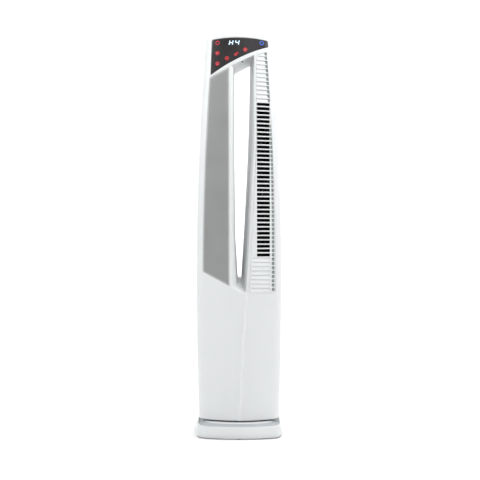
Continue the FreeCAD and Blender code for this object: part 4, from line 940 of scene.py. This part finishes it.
def louvre_row(z, share, groove_share, row):
    """One row of the panel's points from left to right, as (x, z, depth): the opening, then the notch."""
    above, low = row >= OPEN_ROWS, notch_growth(z)
    left, right = louvre_left(z) + LOUVRE_GAP, float(half_width(z)) - STRIP - LOUVRE_GAP
    start = SLOT_X0 if row >= 0 else left + GROOVE_INDENT
    end = min(SLOT_X1, right - (GROOVE_END_GAP if above else SLOT_END_GAP))
    reach = NOTCH_REACH_ABOVE if above else NOTCH_REACH + NOTCH_REACH_GROWTH * low
    notch_start = max(right - reach, end + NOTCH_GAP)
    notch_end = right - NOTCH_MARGIN - NOTCH_MARGIN_GROWTH * low
    notch_share = 1.0 if above else float(np.clip((notch_end - notch_start - 1 * MM) / (1.5 * MM), 0, 1))
    notch_end = max(notch_end, notch_start + 0.3 * MM)
    through = 1.0 if above else 0.0
    columns = [(left + d * MM, 0, 0) for d in (0, 0.15, 0.5)]
    columns += [(start + d * MM, p, 0) for d, p in EDGE_IN]
    columns += [(start + (end - start) * t, 1, 0) for t in (0.15, 0.3, 0.45, 0.6, 0.75, 0.9)]
    columns += [(end + d * MM, max(p, through), 0) for d, p in EDGE_OUT]
    columns += [(notch_start + d * MM, max(p, through), 1) for d, p in EDGE_IN]
    columns += [((notch_start + notch_end) / 2, 1, 1)]
    columns += [(notch_end + d * MM, p, 1) for d, p in EDGE_OUT]
    columns += [(right - 0.15 * MM, 0, 0), (right, 0, 0)]
    line = []
    for index, (x, p, in_notch) in enumerate(columns):
        if in_notch:
            depth = NOTCH_DEPTH * share * notch_share
        elif above:
            s = float(np.clip((x - start) / (notch_end - start), 0, 1))
            depth = (2.6 + 1.4 * s ** 2) * MM * groove_share
        else:
            depth = SLOT_LIP_DEPTH * share if row >= 0 else GROOVE_DEPTH * groove_share
        border = {0: 1.0, 1: 0.25}.get(min(index, len(columns) - 1 - index), 0.0) * 1.2 * MM
        head = louvre_head(x)
        below_head = float(np.clip((head - 0.4 * MM - z) / (0.6 * MM), 0, 1))
        line.append((x, min(z, head - LOUVRE_GAP), depth * p * below_head + border))
    return line


def shade_notches(panel):
    """Gives the faces deep in the notches a darker grey plastic: painted shade for their depth."""
    panel.data.materials.append(notch_painted_shade)
    for polygon in panel.data.polygons:
        x, y, z = polygon.center
        edge, low = float(half_width(z)) - STRIP, notch_growth(z)
        reach = 5.8 if z > FIRST_ROW_Z + (OPEN_ROWS - 0.5) * PITCH else 5.3 + 3.6 * low
        in_notch = edge - reach * MM < x < edge - (1.0 + 1.6 * low) * MM
        if in_notch and y - float(surface_y(x, z)) > NOTCH_DARK_DEPTH:
            polygon.material_index = 1


def louvre_panel():
    stations = louvre_stations()
    points = np.array([louvre_row(*station) for station in stations])
    height, width = points.shape[:2]
    flat = points.reshape(-1, 3)
    build = Builder()
    build.add(on_surface(flat[:, :2], flat[:, 2]))
    in_slot = [share == 1 and 0 <= row < OPEN_ROWS for _, share, _, row in stations]
    for r in range(height - 1):
        for c in range(width - 1):
            if not (in_slot[r] and in_slot[r + 1] and c in SLOT_COLUMNS):
                a, b = r * width + c, (r + 1) * width + c
                build.faces.append((a, a + 1, b + 1, b))
    shade_notches(build.piece("louvre_panel", "tower", white, replaces=("louvre_grille",), slot="white_plastic"))


def louvre_liners():
    """The walls of the open slots, which run on inwards, in near-black painted shade."""
    build = Builder()
    for row in range(OPEN_ROWS):
        z = FIRST_ROW_Z + row * PITCH
        left, right = SLOT_X0, min(SLOT_X1, float(half_width(z)) - STRIP - 1.7 * MM)
        left, right, low, high = left + 0.1 * MM, right - 0.1 * MM, z - SLOT_HALF_HEIGHT, z + SLOT_HALF_HEIGHT
        near = on_surface(np.array([(left, low), (right, low), (right, high), (left, high)]), 0.65 * MM)
        build.rows([near, near + (0, LINER_DEPTH, 0)])
    build.piece("louvre_liners", "tower", slot_wall_painted_shade, slot="inner_plastic", smooth_angle=20)


# ---- the pull-off filter cover at the back
COVER_ROWS, COVER_FIRST_Z, COVER_PITCH = 22, 108, 8.2        # in mm, like the lengths below
COVER_SLOTS_X, COVER_SLOT_LENGTH, COVER_SLOT_HALF = (-54, -17, 20), 34, 2.2


def filter_cover():
    slots = []
    for row in range(COVER_ROWS):
        z = COVER_FIRST_Z + row * COVER_PITCH
        for x in COVER_SLOTS_X:
            corners = np.array([x, x + COVER_SLOT_LENGTH, z - COVER_SLOT_HALF, z + COVER_SLOT_HALF]) * MM
            slots.append(resample(rounded_rectangle(*corners, 1.6 * MM, 5), 1.6 * MM))
    outline = resample(grown(resample(REAR_WINDOW, 3 * MM), -0.3 * MM), 3 * MM)
    build = Builder()
    fitted_panel(build, outline, 0, 0.6 * MM, (3 * MM, 3 * MM), 3 * MM, slots, rear=True)
    build.piece("filter_cover_panel", "filter_cover", white, replaces=("filter_cover",), slot="white_plastic")


# ---- the base
BASE_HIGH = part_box("base_housing")[1]
BASE_HALF_WIDTH, BASE_HALF_DEPTH = BASE_HIGH.x, BASE_HIGH.y
BASE_CORNER_WIDTH, BASE_CORNER_DEPTH, BASE_BOW = 25 * MM, 34 * MM, 8 * MM
# the cover's profile from its foot over the rim to the roof, as height and half width in mm
BASE_PROFILE = [
    (1.5, 100.8), (1.5, 102.0), (1.9, 102.8), (2.8, 103.5), (4.5, 104.4), (6.5, 105.1), (8.2, 105.45), (10, 105.5),
    (13, 105.3), (17, 104.6), (21, 103.6), (25, 102.4), (27.6, 101.6), (28.5, 101.2), (28.95, 100.8),
    (29.15, 100.2), (29.1, 99.5), (28.5, 98.7), (27.9, 97.6), (27.7, 96), (28.1, 93.6), (29.2, 90.8), (31.2, 87.6),
    (33.2, 84.8), (34.2, 82.6), (34.6, 80),
]
# the round collar under the tower, as radius and height in mm
COLLAR_PROFILE = [(44.6, 34.0), (44.2, 34.3), (44.0, 34.8), (44.0, 35.9), (43.7, 36.2), (38, 36.2), (20.3, 36.2),
                  (20.3, 30)]
RIM_HALF, ROOF_HALF, MOAT_LOW_Z = 97.8 * MM, 84.4 * MM, 27 * MM


def base_ring(z, half):
    """The base's plan outline at one height, as points."""
    depth = BASE_HALF_DEPTH - (BASE_HALF_WIDTH - half)
    chord = half - BASE_CORNER_WIDTH
    radius = bow_radius(chord, BASE_BOW)
    x_front = np.linspace(-chord, chord, 33)
    front = stack([x_front, -depth + radius - np.sqrt(radius ** 2 - x_front ** 2)])
    slope = chord / math.sqrt(radius ** 2 - chord ** 2)
    start = -depth + BASE_BOW
    bend = start + slope * BASE_CORNER_WIDTH
    end = bend + BASE_CORNER_DEPTH
    t = np.linspace(0, 1, 13)[1:]
    corner_y = (1 - t) ** 2 * start + 2 * t * (1 - t) * bend + t ** 2 * end
    corner = stack([half - (1 - t) ** 2 * BASE_CORNER_WIDTH, corner_y])
    side = stack([np.full(8, half), np.linspace(end, 0, 9)[1:]])
    quarter = np.vstack([corner, side])
    right = np.vstack([quarter, (quarter[:-1] * (1, -1))[::-1]])
    plan = np.vstack([front, right, (front * (1, -1))[::-1], (right * (-1, 1))[::-1]])
    return stack([plan, np.full(len(plan), z)])


def base_cover():
    build = Builder()
    rows = [base_ring(4.0 * MM, 100.6 * MM), *(base_ring(z * MM, half * MM) for z, half in BASE_PROFILE)]
    rows += [rows[-1] * (scale, scale, 1) for scale in (0.9, 0.75, 0.6)]
    angles = np.arctan2(rows[-1][:, 1], rows[-1][:, 0])
    round_row = stack([np.cos(angles), np.sin(angles), np.ones(len(angles))])
    rows += [round_row * (radius * MM, radius * MM, z * MM) for radius, z in COLLAR_PROFILE]
    build.rows(rows)
    cover = build.piece("base_cover", "base", base_white, replaces=("base_housing",), slot="white_plastic",
                        smooth_angle=50)
    # the faces between the rim and the roof get the painted shade
    cover.data.materials.append(moat_painted_shade)
    rim, roof = base_ring(0, RIM_HALF)[:, :2], base_ring(0, ROOF_HALF)[:, :2]
    centres = np.array([polygon.center for polygon in cover.data.polygons])
    behind_rim = inside(centres[:, :2], rim) & ~inside(centres[:, :2], roof) & (centres[:, 2] > MOAT_LOW_Z)
    for polygon, is_behind in zip(cover.data.polygons, behind_rim):
        polygon.material_index = int(is_behind)


front_casing()
rear_casing()
control_lens()
lit_icons()
digits()
remote_eye()
intake_grille()
louvre_panel()
louvre_liners()
filter_cover()
base_cover()


# ---- floor, lights and camera
def floor():
    """A wide round floor whose rim curves up into a wall."""
    build = Builder()
    turns = np.linspace(0, 2 * math.pi, 120, endpoint=False)
    bend = np.radians(np.linspace(0, 90, 16))
    radii = np.r_[0.4, 1, 2, 3, 4, 4.6 + 2 * np.sin(bend), 6.6, 6.6]
    heights = np.r_[np.zeros(5), 2 - 2 * np.cos(bend), 4.5, 7.5]
    rows = [stack([r * np.cos(turns), r * np.sin(turns), np.full(len(turns), z)])
            for r, z in zip(radii, heights)]
    build.rows(rows)
    build.fan(rows[0])
    data = mesh_data("studio_floor", np.vstack(build.verts), build.faces)
    for polygon in data.polygons:
        polygon.use_smooth = True
    data.materials.append(finish_of("pale backdrop", (0.9, 0.9, 0.9), 0.9, grain=60, bump=0.01, mottle=0.002))
    stage_floor = add_object("studio_floor", data)


def area_light(name, location, target, size, power):
    data = bpy.data.lights.new(name, "AREA")
    data.shape = "RECTANGLE"
    data.size, data.size_y = size
    data.energy = power
    light = add_object(name, data)
    light.location = location
    light.rotation_euler = (Vector(target) - Vector(location)).to_track_quat("-Z", "Y").to_euler()


def studio():
    world = bpy.data.worlds.new("studio")
    world.use_nodes = True
    background = world.node_tree.nodes["Background"].inputs
    background["Color"].default_value = (1, 1, 1, 1)
    background["Strength"].default_value = 0.2
    bpy.context.scene.world = world
    area_light("left box", (-1.9, -0.5, 1.9), (0, 0, 0.9), (1.0, 1.3), 29)
    area_light("right box", (1.9, -0.35, 1.9), (0, 0, 0.9), (1.0, 1.3), 22)
    area_light("high front", (0.3, -1.1, 2.0), (0, 0, 0.9), (0.7, 0.7), 15)
    area_light("right card", (1.9, -3.4, 1.9), (0, 0, 0.95), (2.2, 1.6), 9)
    area_light("overhead", (0.5, 1.1, 3.0), (0.1, 0.8, 0), (2.0, 2.0), 45)
    area_light("backdrop", (0, 2.0, 3.6), (0, 5.6, 1.4), (4.0, 4.0), 240)
    bpy.context.scene.view_settings.view_transform = "Standard"


def camera():
    data = bpy.data.cameras.new("camera")
    data.sensor_width, data.lens = 36, 56.5
    data.shift_x, data.shift_y = 0.002, -0.0058
    eye = add_object("camera", data)
    eye.location = (0, -1.9, 0.48)
    eye.rotation_euler = (math.radians(90), 0, 0)
    bpy.context.scene.camera = eye


floor()
studio()
camera()
